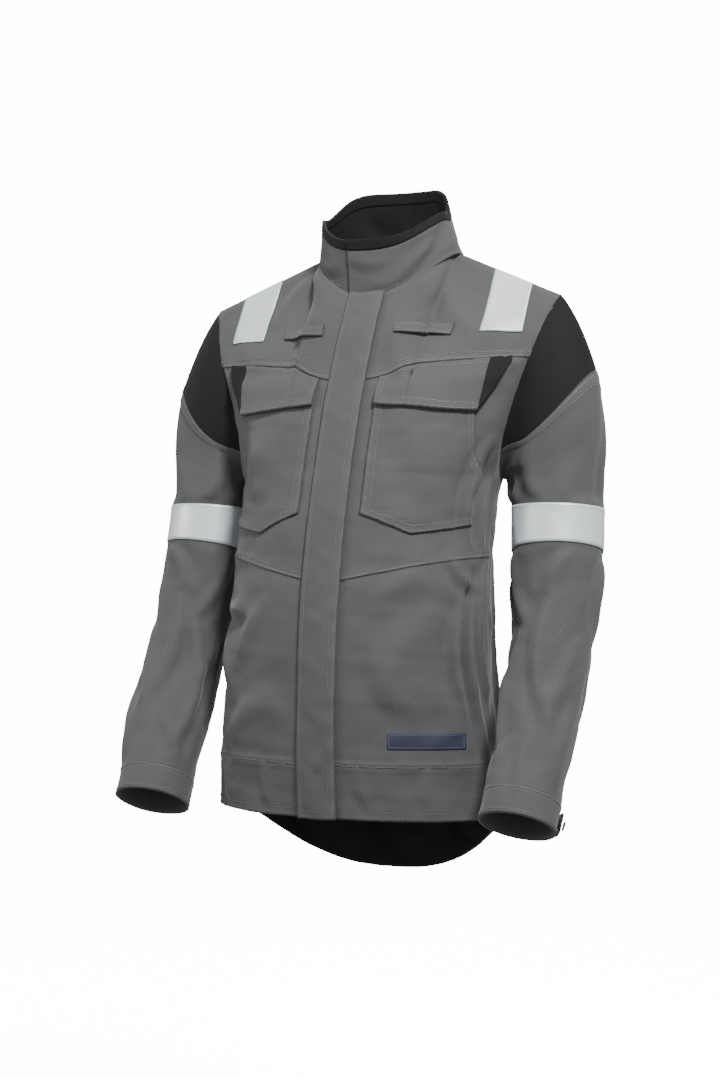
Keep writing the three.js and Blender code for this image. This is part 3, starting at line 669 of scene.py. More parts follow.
# ------------------------------------------------------------------ collar
# A stand collar: grey outer, black lining, and a black binding folded over its top edge. Its left
# end laps over the right, in line with the storm flap's free edge.
COLLAR_HALF = 76
COLLAR_LEAN = 4  # the collar's top sits a little towards the right
COLLAR_FLARE = 4  # and its foot runs out over the left shoulder
COLLAR_DEEP = 60
COLLAR_Y = 67
COLLAR_FRONT_Z = 664
COLLAR_SIDE_Z = 702
COLLAR_BACK_Z = 742
BINDING_SHARE = 0.2
COLLAR_SLIT = math.radians(-16)
COLLAR_UNDER = math.radians(7)  # how far the right end runs on under the left
COLLAR_FOLDS = [
    (12, 8, 75, 56, 7, 3.4), (2, 12, 40, 10, 5, 1.8), (30, 44, 92, 66, 8, 2.2), (60, 8, 110, 40, 9, 2.4),
    (-20, 40, 24, 34, 6, 1.5), (-60, 8, -24, 30, 7, 1.6), (150, 60, 190, 10, 10, 2.0),
    (-110, 12, -80, 50, 9, 2.0), (-170, 10, -140, 50, 9, 2.0), (100, 10, 140, 60, 10, 1.6),
]


def collar_point(angle, v, lift):
    """Angle 0 is the front and 90 degrees the left; v runs from the neckline to the top edge."""
    across, facing = np.sin(angle), np.cos(angle)
    base_z = lerp(np.where(facing > 0, NECK_FRONT_Z, NECK_BACK_Z), NECK_SIDE_Z, across**2)
    sweep = np.where(facing > 0, np.abs(across) ** 3, across**6)
    top_z = lerp(np.where(facing > 0, COLLAR_FRONT_Z, COLLAR_BACK_Z), COLLAR_SIDE_Z, sweep)
    from_slit = angle - COLLAR_SLIT
    under = -1.5 * (1 - smooth(2 * math.pi - from_slit, 0, 0.09))
    over = 1.2 * np.exp(-((from_slit / 0.12) ** 2))
    x = np.mod(np.degrees(angle) + 180, 360) - 180
    up = v * 56
    soft = folds(x, up, COLLAR_FOLDS) * np.sin(np.clip(v, 0, 1) * math.pi) ** 0.4
    soft = soft + 0.8 * wander(x, up, 60, 2) * v + 0.25 * np.sin(x * 1.2) * np.exp(-((v / 0.1) ** 2))
    stand = lift + soft + np.where(from_slit > math.pi, under, over)
    wide = lerp(NECK_HALF, COLLAR_HALF, v) + stand
    deep = lerp(NECK_DEEP, COLLAR_DEEP, v) + stand
    y = lerp(NECK_Y, COLLAR_Y, v) - deep * facing
    flare = COLLAR_FLARE * np.maximum(0, across) * (1 - np.clip(v, 0, 1)) ** 3
    return np.stack([wide * across + flare - COLLAR_LEAN * v, y, lerp(base_z, top_z, v)], -1) * MM + ORIGIN


def collar_piece(name, v0, v1, lift, material, thick=CLOTH_THICK):
    def shape(u, v, off):
        angle = lerp(COLLAR_SLIT, COLLAR_SLIT + 2 * math.pi + COLLAR_UNDER, u)
        share = lerp(v0, v1, v)
        flat = np.stack([angle * NECK_HALF, share * 60], -1)
        return collar_point(angle, share, lift + off), flat, nearest((share - v0) * 56, (v1 - share) * 56)

    steps = (170, max(4, round((v1 - v0) * 24)))
    return cloth_piece(f"{name}_cloth", steps, shape, material, [name], thick=thick)


collar_piece("collar_outer", -0.03, 1 - BINDING_SHARE + 0.02, CLOTH, GREY_TWILL)
collar_piece("collar_lining", -0.03, 0.97, -0.4, BLACK_TWILL)
collar_piece("collar_binding", 1 - BINDING_SHARE, 1.0, CLOTH + 0.5, BLACK_TWILL, thick=4.2)

collar_face = lambda angle, v, lift: collar_point(angle, v, lift)
for v, lift in ((0.06, CLOTH), (1 - BINDING_SHARE - 0.03, CLOTH)):
    route = [(COLLAR_SLIT + 0.03 + i * 2 * math.pi / 48, v) for i in range(48)]
    stitch_row(torso_thread, collar_face, route, lift)
lap_row = COLLAR_SLIT + 0.03
stitch_row(torso_thread, collar_face, [(lap_row, 0.05), (lap_row, 0.75)], CLOTH)

# The neck loop is a strip of the grey twill, stitched down at both ends.
HANG_HALF = 32
HANG_TALL = 9
HANG_BOW = 9
HANG_V = 0.1735
hang_top = HANG_V + HANG_TALL / (COLLAR_BACK_Z - NECK_BACK_Z)


def hanger_shape(u, v, off):
    angle = math.pi - np.arcsin(lerp(-HANG_HALF, HANG_HALF, u) / NECK_HALF)
    bow = HANG_BOW * np.sin(math.pi * u) ** 0.5
    share = lerp(HANG_V, hang_top, v)
    flat = np.stack([u * 2 * HANG_HALF, v * HANG_TALL], -1)
    place = collar_point(angle, share, -3.6 - bow + off)
    return place, flat, nearest(v * HANG_TALL, (1 - v) * HANG_TALL)


cloth_piece("hanger_loop_cloth", (40, 6), hanger_shape, GREY_TWILL, ["hanger_loop"],
            declare=False)

# ------------------------------------------------------------------ zip
# A brass-toothed zip on black tape runs up behind the storm flap. Its slider and puller are cast
# zinc, plated antique brass.
ZIP_BOTTOM = 14
ZIP_TOP = 580
TOOTH_PITCH = 3.0
ARC_Y = FRONT_MOST_Y + FRONT_RADIUS

brass, brass_tree, brass_shader = new_material("antique_brass")
brass_place = node(brass_tree, "ShaderNodeTexCoord")
tarnish = node(
    brass_tree, "ShaderNodeTexNoise", [(brass_place.outputs["Object"], "Vector")], Scale=260.0,
    Detail=4.0,
)
brass_colour = mixed(
    brass_tree, "MIX", tarnish.outputs["Fac"], linear("#5E4F2C"), linear("#A8925A")
)
brass_tree.links.new(brass_colour, brass_shader.inputs["Base Color"])
brass_rough = node(
    brass_tree, "ShaderNodeMapRange", [(tarnish.outputs["Fac"], "Value")], To_Min=0.28, To_Max=0.5
)
brass_tree.links.new(brass_rough.outputs["Result"], brass_shader.inputs["Roughness"])
brass_shader.inputs["Metallic"].default_value = 1.0


def on_arc(x, z, lift):
    angle = np.arcsin((z - FRONT_MOST_Z) / FRONT_RADIUS)
    radius = FRONT_RADIUS + lift
    y, up = ARC_Y - radius * np.cos(angle), FRONT_MOST_Z + radius * np.sin(angle)
    return np.stack([x + 0 * y, y, up], -1) * MM + ORIGIN


for hand, sign in HANDS:
    teeth = bmesh.new()
    for i in range(int((ZIP_TOP - ZIP_BOTTOM) / TOOTH_PITCH)):
        z = ZIP_BOTTOM + (i + (0.5 if sign > 0 else 0.0)) * TOOTH_PITCH
        lean = Matrix.Rotation(-math.asin((z - FRONT_MOST_Z) / FRONT_RADIUS), 4, "X")
        centre = Matrix.Translation(Vector(on_arc(np.array(sign * 2.2), np.array(z), 0.0)))
        size = Matrix.Diagonal((2.9 * MM, 2.6 * MM, 1.7 * MM, 1))
        bmesh.ops.create_cube(teeth, size=1, matrix=centre @ lean @ size)
    finish_mesh(f"zip_teeth_{hand}_brass", teeth, brass, [f"zip_teeth_{hand}"])

    def tape_shape(u, v, off, s=sign):
        x, z = lerp(4.5, 17, u), lerp(ZIP_BOTTOM, ZIP_TOP, v)
        flat = np.stack([x, z], -1)
        return on_arc(s * x, z, -0.9 + off), flat, nearest(17 - x, x - 4.5)

    cloth_piece(f"zip_tape_{hand}_cloth", (4, 90), tape_shape, BLACK_TWILL,
                [f"zip_tape_{hand}"], thick=1.0)

for name in ("zip_slider", "zip_puller"):
    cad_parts[name].data.materials.clear()
    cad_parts[name].data.materials.append(brass)

# ------------------------------------------------------------------ storm flap
# A strip of doubled twill sewn down along the left front, over the zip. Its right edge is free,
# and closes on five hidden press studs.
FLY_HALF = 23
FLY_BOTTOM = 0
FLY_TOP = 594
FLY_SEAT = 2.9
FLY_BOW = 4.8


def fly_lift(x, h):
    """Height of the flap's outer face: flat over the zip, with gathers between the studs."""
    u = np.clip((x + FLY_HALF) / (2 * FLY_HALF), 0, 1)
    bow = FLY_BOW * np.sin(math.pi * u) ** 0.45
    wave = 0.9 * wander(x * 1.5, h, 52, 5) + 0.5 * np.sin(h / 9 + 2 * np.sin(h / 23)) * (1 - u) ** 2
    seam = 0.4 * np.sin(h / 5.2 + np.sin(h / 17)) * np.exp(-(((u - 1) / 0.2) ** 2))
    slack = 1.6 * np.exp(-((u / 0.18) ** 2)) * (0.5 + 0.5 * np.sin(h / 37 + 1))
    return FLY_SEAT + CLOTH + bow + wave * np.sin(math.pi * np.clip(u, 0.08, 1)) + seam + slack


def fly_shape(u, v, off):
    h = lerp(FLY_BOTTOM, FLY_TOP, v)
    x = lerp(-FLY_HALF, FLY_HALF, u)
    flat = np.stack([x, h], -1)
    edge = nearest(x + FLY_HALF, FLY_HALF - x, h - FLY_BOTTOM, FLY_TOP - h)
    return torso(at_x(x, h), h, FRONT, fly_lift(x, h) + off), flat, edge


storm_flap = cloth_piece("storm_flap_cloth", (22, 240), fly_shape, GREY_TWILL,
                         ["storm_flap"], body=None, thick=1.8)
fly_middle = torso(at_x(FLY_HALF, 300.0), np.array(300.0), FRONT, 3.0)
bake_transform(storm_flap)

fly_face = lambda x, h, lift: torso(at_x(x, h), h, FRONT, fly_lift(x, h) + lift)
fly_thread = bmesh.new()
for x in (FLY_HALF - 2.0, FLY_HALF - 8.0, -FLY_HALF + 6.0):
    stitch_row(fly_thread, fly_face, [(x, h) for h in np.linspace(FLY_BOTTOM + 2, FLY_TOP - 2, 30)], 0.05)
stitch_row(fly_thread, fly_face, [(-FLY_HALF + 6, 8.0), (FLY_HALF - 2, 8.0)], 0.05)
fly_stitches = finish_mesh("storm_flap_stitching", fly_thread, thread, body=None)
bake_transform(fly_stitches)

# Press studs are brass with a baked black enamel.
enamel, enamel_tree, enamel_shader = new_material("black_enamel")
enamel_place = node(enamel_tree, "ShaderNodeTexCoord")
speck = node(
    enamel_tree, "ShaderNodeTexNoise", [(enamel_place.outputs["Object"], "Vector")], Scale=700.0
)
enamel_colour = mixed(enamel_tree, "MIX", speck.outputs["Fac"], linear("#0E0E10"), linear("#232326"))
enamel_tree.links.new(enamel_colour, enamel_shader.inputs["Base Color"])
enamel_rough = node(
    enamel_tree, "ShaderNodeMapRange", [(speck.outputs["Fac"], "Value")], To_Min=0.25, To_Max=0.42
)
enamel_tree.links.new(enamel_rough.outputs["Result"], enamel_shader.inputs["Roughness"])
enamel_shader.inputs["Metallic"].default_value = 0.6
for name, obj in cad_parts.items():
    if name.startswith(("fly_stud", "cuff_post")):
        obj.data.materials.clear()
        obj.data.materials.append(enamel)

# ------------------------------------------------------------------ chest pockets
# Patch pockets with a pointed lower edge, under flaps sewn into the yoke seam. The outer corner
# of each flap is black.
POCKET_IN = 37
POCKET_OUT = 145
POCKET_TOP = 474
POCKET_LOW = (338, 316, 328)
POCKET_TIP_AT = 0.4
FLAP_IN_DROP = 30
FLAP_TIP_DROP = 52
FLAP_OUT_DROP = 6
FLAP_TIP = 146
FLAP_OUT = 178
FLAP_SLANT = 9  # the black corner's seam leans out by this much at the top


def pocket_low(u):
    inner, tip, outer = POCKET_LOW
    before = lerp(inner, tip, u / POCKET_TIP_AT)
    return np.where(u < POCKET_TIP_AT, before, lerp(tip, outer, (u - POCKET_TIP_AT) / (1 - POCKET_TIP_AT)))


def pocket_place(u, v, lift, s):
    h = lerp(pocket_low(u), POCKET_TOP, v)
    a = lerp(at_x(POCKET_IN, h), at_x(POCKET_OUT, h), u)
    width, tall = (POCKET_OUT - POCKET_IN), POCKET_TOP - pocket_low(u)
    edge = nearest(u * width, (1 - u) * width, v * tall)
    puff = 1.2 * smooth(edge, 0, 26) + 0.5 * wander(u * width, v * tall, 60, 7) * smooth(edge, 2, 12)
    doubled = 0.5 * (1 - smooth(edge, 7, 9))
    gather = 0.25 * np.sin((u * width + v * tall) / 2.4) * np.exp(-((edge / 6) ** 2))
    place = torso(s * a, h, FRONT, CLOTH + 1.3 + puff + doubled + gather + lift)
    return place, np.stack([u * width, v * tall], -1), edge


def flap_top(x):
    return yoke_seam(at_x(x, YOKE_SEAM)) - 0.5


def flap_place(x, v, lift, s):
    """v is 0 at the lower edge and 1 at the yoke seam."""
    inner = lerp(FLAP_IN_DROP, FLAP_TIP_DROP, (x - POCKET_IN) / (FLAP_TIP - POCKET_IN))
    outer = lerp(FLAP_TIP_DROP, FLAP_OUT_DROP, (x - FLAP_TIP) / (FLAP_OUT - FLAP_TIP))
    drop = np.where(x < FLAP_TIP, inner, outer)
    down = (1 - v) * drop
    towards_tip = (x - POCKET_IN) / (FLAP_TIP - POCKET_IN)
    past_tip = (x - FLAP_TIP) / (FLAP_OUT - FLAP_TIP)
    leant = x + np.where(x < FLAP_TIP, towards_tip, 1 - past_tip) * FLAP_SLANT * v
    h = flap_top(leant) - down
    edge = nearest(drop - down, (x - POCKET_IN), (FLAP_OUT - x))
    stand = CLOTH + 1.0 + 4.4 * smooth(down, 0, 22) + 0.8 * (1 - smooth(edge, 6, 9))
    stand = stand + 0.7 * wander(x, down, 70, 4) * smooth(down, 4, 20)
    stand = stand + 0.25 * np.sin(x / 3) * np.exp(-((down / 7) ** 2))
    place = torso(s * at_x(leant, h), h, FRONT, stand + lift)
    return place, np.stack([x, down], -1), edge


for hand, sign in HANDS:
    pocket_shape = lambda u, v, off, s=sign: pocket_place(u, v, off, s)
    cloth_piece(f"chest_pocket_{hand}_cloth", (46, 56), pocket_shape, GREY_TWILL,
                [f"chest_pocket_{hand}"])
    pocket_face = lambda u, v, lift, s=sign: pocket_place(u, v, lift, s)[0]
    for inset in (2.0, 8.0):
        du, dv = inset / (POCKET_OUT - POCKET_IN), inset / 140
        route = [(du, 0.9), (du, dv), (POCKET_TIP_AT, dv), (1 - du, dv), (1 - du, 0.9)]
        stitch_row(torso_thread, pocket_face, route, 0.05)

    def grey_shape(u, v, off, s=sign):
        return flap_place(lerp(POCKET_IN, FLAP_TIP, u), v, off, s)

    def black_shape(u, v, off, s=sign):
        return flap_place(lerp(FLAP_TIP, FLAP_OUT, u), v, off, s)

    flap = cloth_piece(f"pocket_flap_{hand}_cloth", (44, 18), grey_shape, GREY_TWILL,
                       [f"pocket_flap_{hand}"], body=None, thick=1.8)
    corner = cloth_piece(f"flap_corner_{hand}_cloth", (14, 18), black_shape, BLACK_TWILL,
                         [f"flap_corner_{hand}"], body=None, thick=1.8)
    flap_thread = bmesh.new()
    flap_face = lambda x, v, lift, s=sign: flap_place(x, v, lift, s)[0]
    for inset in (2.0, 7.5):
        low = [(x, inset / lerp(FLAP_IN_DROP, FLAP_TIP_DROP, (x - POCKET_IN) / 109))
               for x in np.linspace(POCKET_IN + inset, FLAP_TIP - 1, 10)]
        stitch_row(flap_thread, flap_face, [(POCKET_IN + inset, 0.97)] + low, 0.05)
    top_row = [(x, 0.93) for x in np.linspace(POCKET_IN + 2, FLAP_TIP, 9)]
    stitch_row(flap_thread, flap_face, top_row, 0.05)
    flap_stitches = finish_mesh(
        f"pocket_flap_{hand}_stitching", flap_thread, thread, body=None
    )
    for piece in (flap, corner, flap_stitches):
        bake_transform(piece)

# ------------------------------------------------------------------ radio loops and tape
# A flat loop of twill on each side of the chest, bar-tacked at its ends, and silver
# retroreflective tape: fine glass beads on cloth, satin and slightly cool.
LOOP_IN = 46
LOOP_OUT = 110
LOOP_Z = 548
LOOP_TALL = 14
TAPE_IN_X = 138
TAPE_WIDE = 48
TAPE_END_Z = 550
BEAD = 1.2 * MM  # the glass beads are under 0.1 mm; their sparkle is drawn this coarse

SILVER_TAPE, tape_tree, tape_shader = new_material("reflective_tape")
tape_place = node(tape_tree, "ShaderNodeTexCoord")
beads = node(
    tape_tree, "ShaderNodeTexNoise", [(tape_place.outputs["Object"], "Vector")], Scale=1 / BEAD,
    Detail=3.0,
)
creases = node(
    tape_tree, "ShaderNodeTexNoise", [(tape_place.outputs["Object"], "Vector")], Scale=38.0, Detail=3.0
)
tape_base = mixed(tape_tree, "MIX", beads.outputs["Fac"], linear("#A3AAAD"), linear("#C6CBCD"))
tape_worn = mixed(tape_tree, "MULTIPLY", creases.outputs["Fac"], tape_base, grey(0.9))
# Painted shade darkens the last 1.7 millimetres of the tape at its cut edges.
tape_seam = node(tape_tree, "ShaderNodeAttribute", attribute_name="seam")
tape_edge_shade = node(tape_tree, "ShaderNodeValToRGB", [(tape_seam.outputs["Fac"], "Fac")])
tape_edge_shade.color_ramp.elements[0].color = grey(0.72)
tape_edge_shade.color_ramp.elements[1].color = grey(1.0)
tape_edge_shade.color_ramp.elements[1].position = 0.14
tape_colour = mixed(tape_tree, "MULTIPLY", 1.0, tape_worn, tape_edge_shade.outputs["Color"])
tape_tree.links.new(tape_colour, tape_shader.inputs["Base Color"])
tape_rough = node(
    tape_tree, "ShaderNodeMapRange", [(creases.outputs["Fac"], "Value")], To_Min=0.38, To_Max=0.55
)
tape_tree.links.new(tape_rough.outputs["Result"], tape_shader.inputs["Roughness"])
tape_bump = node(
    tape_tree, "ShaderNodeBump", [(beads.outputs["Fac"], "Height")], Strength=0.25, Distance=0.2 * MM
)
tape_tree.links.new(tape_bump.outputs["Normal"], tape_shader.inputs["Normal"])
tape_shader.inputs["Metallic"].default_value = 0.25

tape_thread = bmesh.new()
for hand, sign in HANDS:
    def loop_shape(u, v, off, s=sign):
        z = LOOP_Z + v * LOOP_TALL
        a = at_x(lerp(LOOP_IN, LOOP_OUT, u), LOOP_Z)
        h = height_at(s * a, z + 0 * a, FRONT)
        bow = 2.6 * np.sin(math.pi * np.clip(u, 0, 1)) ** 0.8 * (1 - 0.5 * v)
        width = LOOP_OUT - LOOP_IN
        edge = nearest(u * width, (1 - u) * width, v * LOOP_TALL, (1 - v) * LOOP_TALL)
        place = torso(s * a, h, FRONT, CLOTH + 1.5 + bow + off)
        return place, np.stack([u * width, v * LOOP_TALL], -1), edge

    cloth_piece(f"radio_loop_{hand}_cloth", (28, 7), loop_shape, GREY_TWILL,
                [f"radio_loop_{hand}"])
    loop_face = lambda u, v, lift, s=sign, f=loop_shape: f(u, v, lift)[0]
    for u in (0.03, 0.10, 0.90, 0.97):
        stitch_row(torso_thread, loop_face, [(u, 0.05), (u, 0.95)], 0.05)
    for v in (0.14, 0.86):
        stitch_row(torso_thread, loop_face, [(0.02, v), (0.98, v)], 0.05)

    for name, side in (("front", FRONT), ("back", BACK)):
        def strip_shape(u, v, off, s=sign, side=side):
            x = TAPE_IN_X + u * TAPE_WIDE
            a = at_x(x, TAPE_END_Z)
            h = lerp(height_at(a, TAPE_END_Z + 0 * a, side), SHOULDER_Z - 0.5, v)
            edge = nearest(u * TAPE_WIDE, (1 - u) * TAPE_WIDE, v * 70)
            place = torso(s * at_x(x, h), h, side, CLOTH + 1.2 + off)
            return place, np.stack([u * TAPE_WIDE, v * 70], -1), edge

        cloth_piece(f"shoulder_tape_{name}_{hand}_cloth", (18, 30), strip_shape, SILVER_TAPE,
                    [f"shoulder_tape_{name}_{hand}"], thick=0.8)
        strip_face = lambda u, v, lift, f=strip_shape: f(u, v, lift)[0]
        route = [(0.06, 0.98), (0.06, 0.06), (0.94, 0.06), (0.94, 0.98)]
        stitch_row(tape_thread, strip_face, route, 0.0)

pale_thread, pale_tree, pale_shader = new_material("pale_thread")
pale_place = node(pale_tree, "ShaderNodeTexCoord")
pale_noise = node(
    pale_tree, "ShaderNodeTexNoise", [(pale_place.outputs["Object"], "Vector")], Scale=900.0
)
pale_colour = mixed(pale_tree, "MIX", pale_noise.outputs["Fac"], linear("#84898B"), linear("#A4A9AB"))
pale_tree.links.new(pale_colour, pale_shader.inputs["Base Color"])
pale_shader.inputs["Roughness"].default_value = 0.6
finish_mesh("shoulder_tape_stitching", tape_thread, pale_thread)

# ------------------------------------------------------------------ label
# A plain navy woven label with a paler woven border, sewn above the left hem.
LABEL_IN = 80
LABEL_OUT = 150
LABEL_LOW = 80
LABEL_TALL = 17
NAVY_LABEL, label_tree, label_shader = new_material("navy_woven_label")
label_map = node(label_tree, "ShaderNodeUVMap", uv_map="cloth")
label_weave = node(
    label_tree, "ShaderNodeTexWave", [(label_map.outputs["UV"], "Vector")],
    Scale=2 * math.pi / (WAVE_TURNS * 1.6 * MM), bands_direction="Y",
)
label_base = mixed(
    label_tree, "MIX", label_weave.outputs["Fac"], linear("#0B0F22"), linear("#11172E")
)
label_seam = node(label_tree, "ShaderNodeAttribute", attribute_name="seam")
label_edge = node(label_tree, "ShaderNodeValToRGB", [(label_seam.outputs["Fac"], "Fac")])
label_edge.color_ramp.interpolation = "CONSTANT"
label_edge.color_ramp.elements[0].color = grey(0.0)
label_edge.color_ramp.elements[1].color = grey(0.0)
label_edge.color_ramp.elements[1].position = 0.17
label_edge.color_ramp.elements.new(0.10).color = grey(0.55)
label_colour = mixed(
    label_tree, "MIX", label_edge.outputs["Color"], label_base, linear("#39415E")
)
label_tree.links.new(label_colour, label_shader.inputs["Base Color"])
label_rough = node(
    label_tree, "ShaderNodeMapRange", [(label_weave.outputs["Fac"], "Value")], To_Min=0.55, To_Max=0.7
)
label_tree.links.new(label_rough.outputs["Result"], label_shader.inputs["Roughness"])


def label_shape(u, v, off):
    h = LABEL_LOW + v * LABEL_TALL
    x = lerp(LABEL_IN, LABEL_OUT, u)
    edge = nearest(u * 84, (1 - u) * 84, v * LABEL_TALL, (1 - v) * LABEL_TALL)
    place = torso(at_x(x, h), h, FRONT, CLOTH + 1.1 + off)
    return place, np.stack([u * 84, v * LABEL_TALL], -1), edge


cloth_piece("side_label_cloth", (120, 30), label_shape, NAVY_LABEL, ["side_label"],
            thick=0.7)
finish_mesh("torso_stitching", torso_thread, thread)

# ------------------------------------------------------------------ sleeves
# Set-in sleeves of grey twill with a black insert over the shoulder, a 50 mm band of reflective
# tape, and a hemmed cuff that closes with a tab and a press stud.
SLEEVE_LINE = curve([(196, 64, 490), (220, 58, 420), (224, 52, 328), (231, 14, 186), (225, -79, 3)])
sleeve_runs = np.concatenate([[0], np.cumsum(np.linalg.norm(np.diff(SLEEVE_LINE, axis=0), axis=1))])
SLEEVE_LENGTH = sleeve_runs[-1]
INSERT_REACH = 0.092
HEAD_SHARE = 0.3
BAND_TOP = 0.278
BAND_WIDE = 50
CUFF_TALL = 32
CUFF_START = 1 - CUFF_TALL / SLEEVE_LENGTH
sleeve_radius = through([(0, 50), (0.16, 47), (0.3, 50), (0.6, 44), (1, 40)])
# Folds on a sleeve: (degrees round, millimetres down) to (degrees round, millimetres down).
SLEEVE_FOLDS = [
    (200, 290, 215, 470, 9, 5.0), (170, 250, 150, 420, 10, 4.5), (230, 180, 200, 300, 9, 4.0),
    (140, 200, 180, 260, 9, 3.0), (250, 210, 262, 420, 10, 4.5), (120, 300, 130, 480, 11, 3.6),
    (60, 200, 80, 300, 12, 3.0), (30, 260, 20, 440, 11, 3.5), (-20, 200, 0, 330, 11, 4.0),
    (-60, 240, -50, 430, 11, 4.0), (200, 60, 185, 150, 10, 3.0), (150, 90, 150, 170, 12, 2.0),
    (225, 100, 215, 210, 8, 3.6), (260, 60, 240, 160, 9, 4.0), (60, 60, 70, 160, 12, 2.6),
    (-40, 60, -20, 170, 10, 3.6), (190, 430, 230, 490, 8, 2.6), (90, 350, 110, 500, 12, 2.6),
    (170, 420, 160, 520, 8, 2.0), (245, 300, 225, 380, 8, 2.6),
]


SLEEVE_DEPTH = 1.45
MM_PER_DEGREE = 0.84  # round a sleeve of 48 mm radius
# Fullness of the sleeve's outer side: (millimetres out, millimetres down, spread).
SHOULDER_FULL = (5, 16, 22)
UPPER_ARM_FLAT = (-6, 100, 60)
FOREARM_AT = (430, 130)
ARMPIT_FULL = (5, 190, 60)  # and of its inner side, under the armpit


def fullness(down, amount, at, spread):
    return amount * np.exp(-(((down - at) / spread) ** 2))


def sleeve_relief(k, psi, sign):
    around = np.degrees(psi)
    down = k * SLEEVE_LENGTH
    x = around * MM_PER_DEGREE
    scaled = [
        (a * MM_PER_DEGREE, b, c * MM_PER_DEGREE, d, w, t) for a, b, c, d, w, t in SLEEVE_FOLDS
    ]
    out = SLEEVE_DEPTH * folds(x + sign * 3, down, scaled)
    outer = np.maximum(0, np.sin(psi))
    out = out + outer * fullness(down, *SHOULDER_FULL)
    out = out + outer * fullness(down, *UPPER_ARM_FLAT)
    out = out + outer * fullness(down, 2 - 4 * sign, *FOREARM_AT)
    out = out + np.maximum(0, -np.sin(psi)) * fullness(down, *ARMPIT_FULL)
    wave = 1.5 * wander(np.sin(psi) * 60 + 9 * sign, down + np.cos(psi) * 45, 120, 2 + sign)
    wave = wave + 0.5 * wander(np.sin(psi) * 60, down + np.cos(psi) * 45, 50, 5)
    band_low = BAND_TOP * SLEEVE_LENGTH + BAND_WIDE
    stiff = 1 - 0.75 * smooth(down, band_low - BAND_WIDE - 14, band_low - BAND_WIDE) * (
        1 - smooth(down, band_low, band_low + 14))
    cuff = lerp(1, 0.35, smooth(down, SLEEVE_LENGTH - 60, SLEEVE_LENGTH - 20))
    return (out + wave) * stiff * cuff * smooth(down, 4, 40)


def insert_edge(psi):
    turned = (psi - math.pi / 2) / math.radians(140)
    return INSERT_REACH * (1 + 0.6 * turned**2) * (1 - turned**6)


def sleeve_smooth(k, psi, lift, sign):
    loop_h = ARMHOLE_Z + ARMHOLE_TALL * np.sin(psi)
    loop_y = side_line(loop_h) + np.sign(np.cos(psi)) * armhole_open(loop_h)
    loop = np.stack([half_width(loop_h) - 0.6, loop_y, loop_h], -1)
    loop_out = np.stack([0 * psi, np.cos(psi), np.sin(psi)], -1)
    head = np.clip(k / HEAD_SHARE, 0, 1)
    level_share = np.sin(head * math.pi / 2)[..., None]
    run = np.clip(k, 0, 1) * SLEEVE_LENGTH
    ahead = np.minimum(run + 2, SLEEVE_LENGTH)
    at = lambda r: np.stack([np.interp(r, sleeve_runs, SLEEVE_LINE[:, i]) for i in range(3)], -1)
    along = at(ahead) - at(ahead - 4)
    along /= np.linalg.norm(along, axis=-1, keepdims=True)
    outside = np.array([1.0, 0, 0]) - along * along[..., :1]
    outside /= np.linalg.norm(outside, axis=-1, keepdims=True)
    behind = np.cross(outside, along)
    swung = lerp(np.array([0.28, 0, 0.96]), outside, level_share)
    swung /= np.linalg.norm(swung, axis=-1, keepdims=True)
    radius = sleeve_radius(k)
    tall = lerp(ARMHOLE_TALL, radius, level_share[..., 0])[..., None]
    deep = lerp(ARMHOLE_DEEP, radius, np.minimum(1, head * 2))[..., None]
    cosine, sine = np.cos(psi)[..., None], np.sin(psi)[..., None]
    ring = at(run) + behind * deep * cosine + swung * tall * sine
    ring_out = behind * cosine / deep + swung * sine / tall
    ring_out /= np.linalg.norm(ring_out, axis=-1, keepdims=True)
    joined = smooth(k, 0, HEAD_SHARE / 3)[..., None]
    out = lerp(loop_out, ring_out, joined)
    out /= np.linalg.norm(out, axis=-1, keepdims=True)
    place = lerp(loop, ring, joined) + out * np.asarray(lift)[..., None]
    return place * np.array([sign, 1, 1])


def sleeve(k, psi, lift, sign):
    return sleeve_smooth(k, psi, sleeve_relief(k, psi, sign) + lift, sign) * MM + ORIGIN


SLEEVE_LEAN = np.array([0.8, 0.0, -0.6])

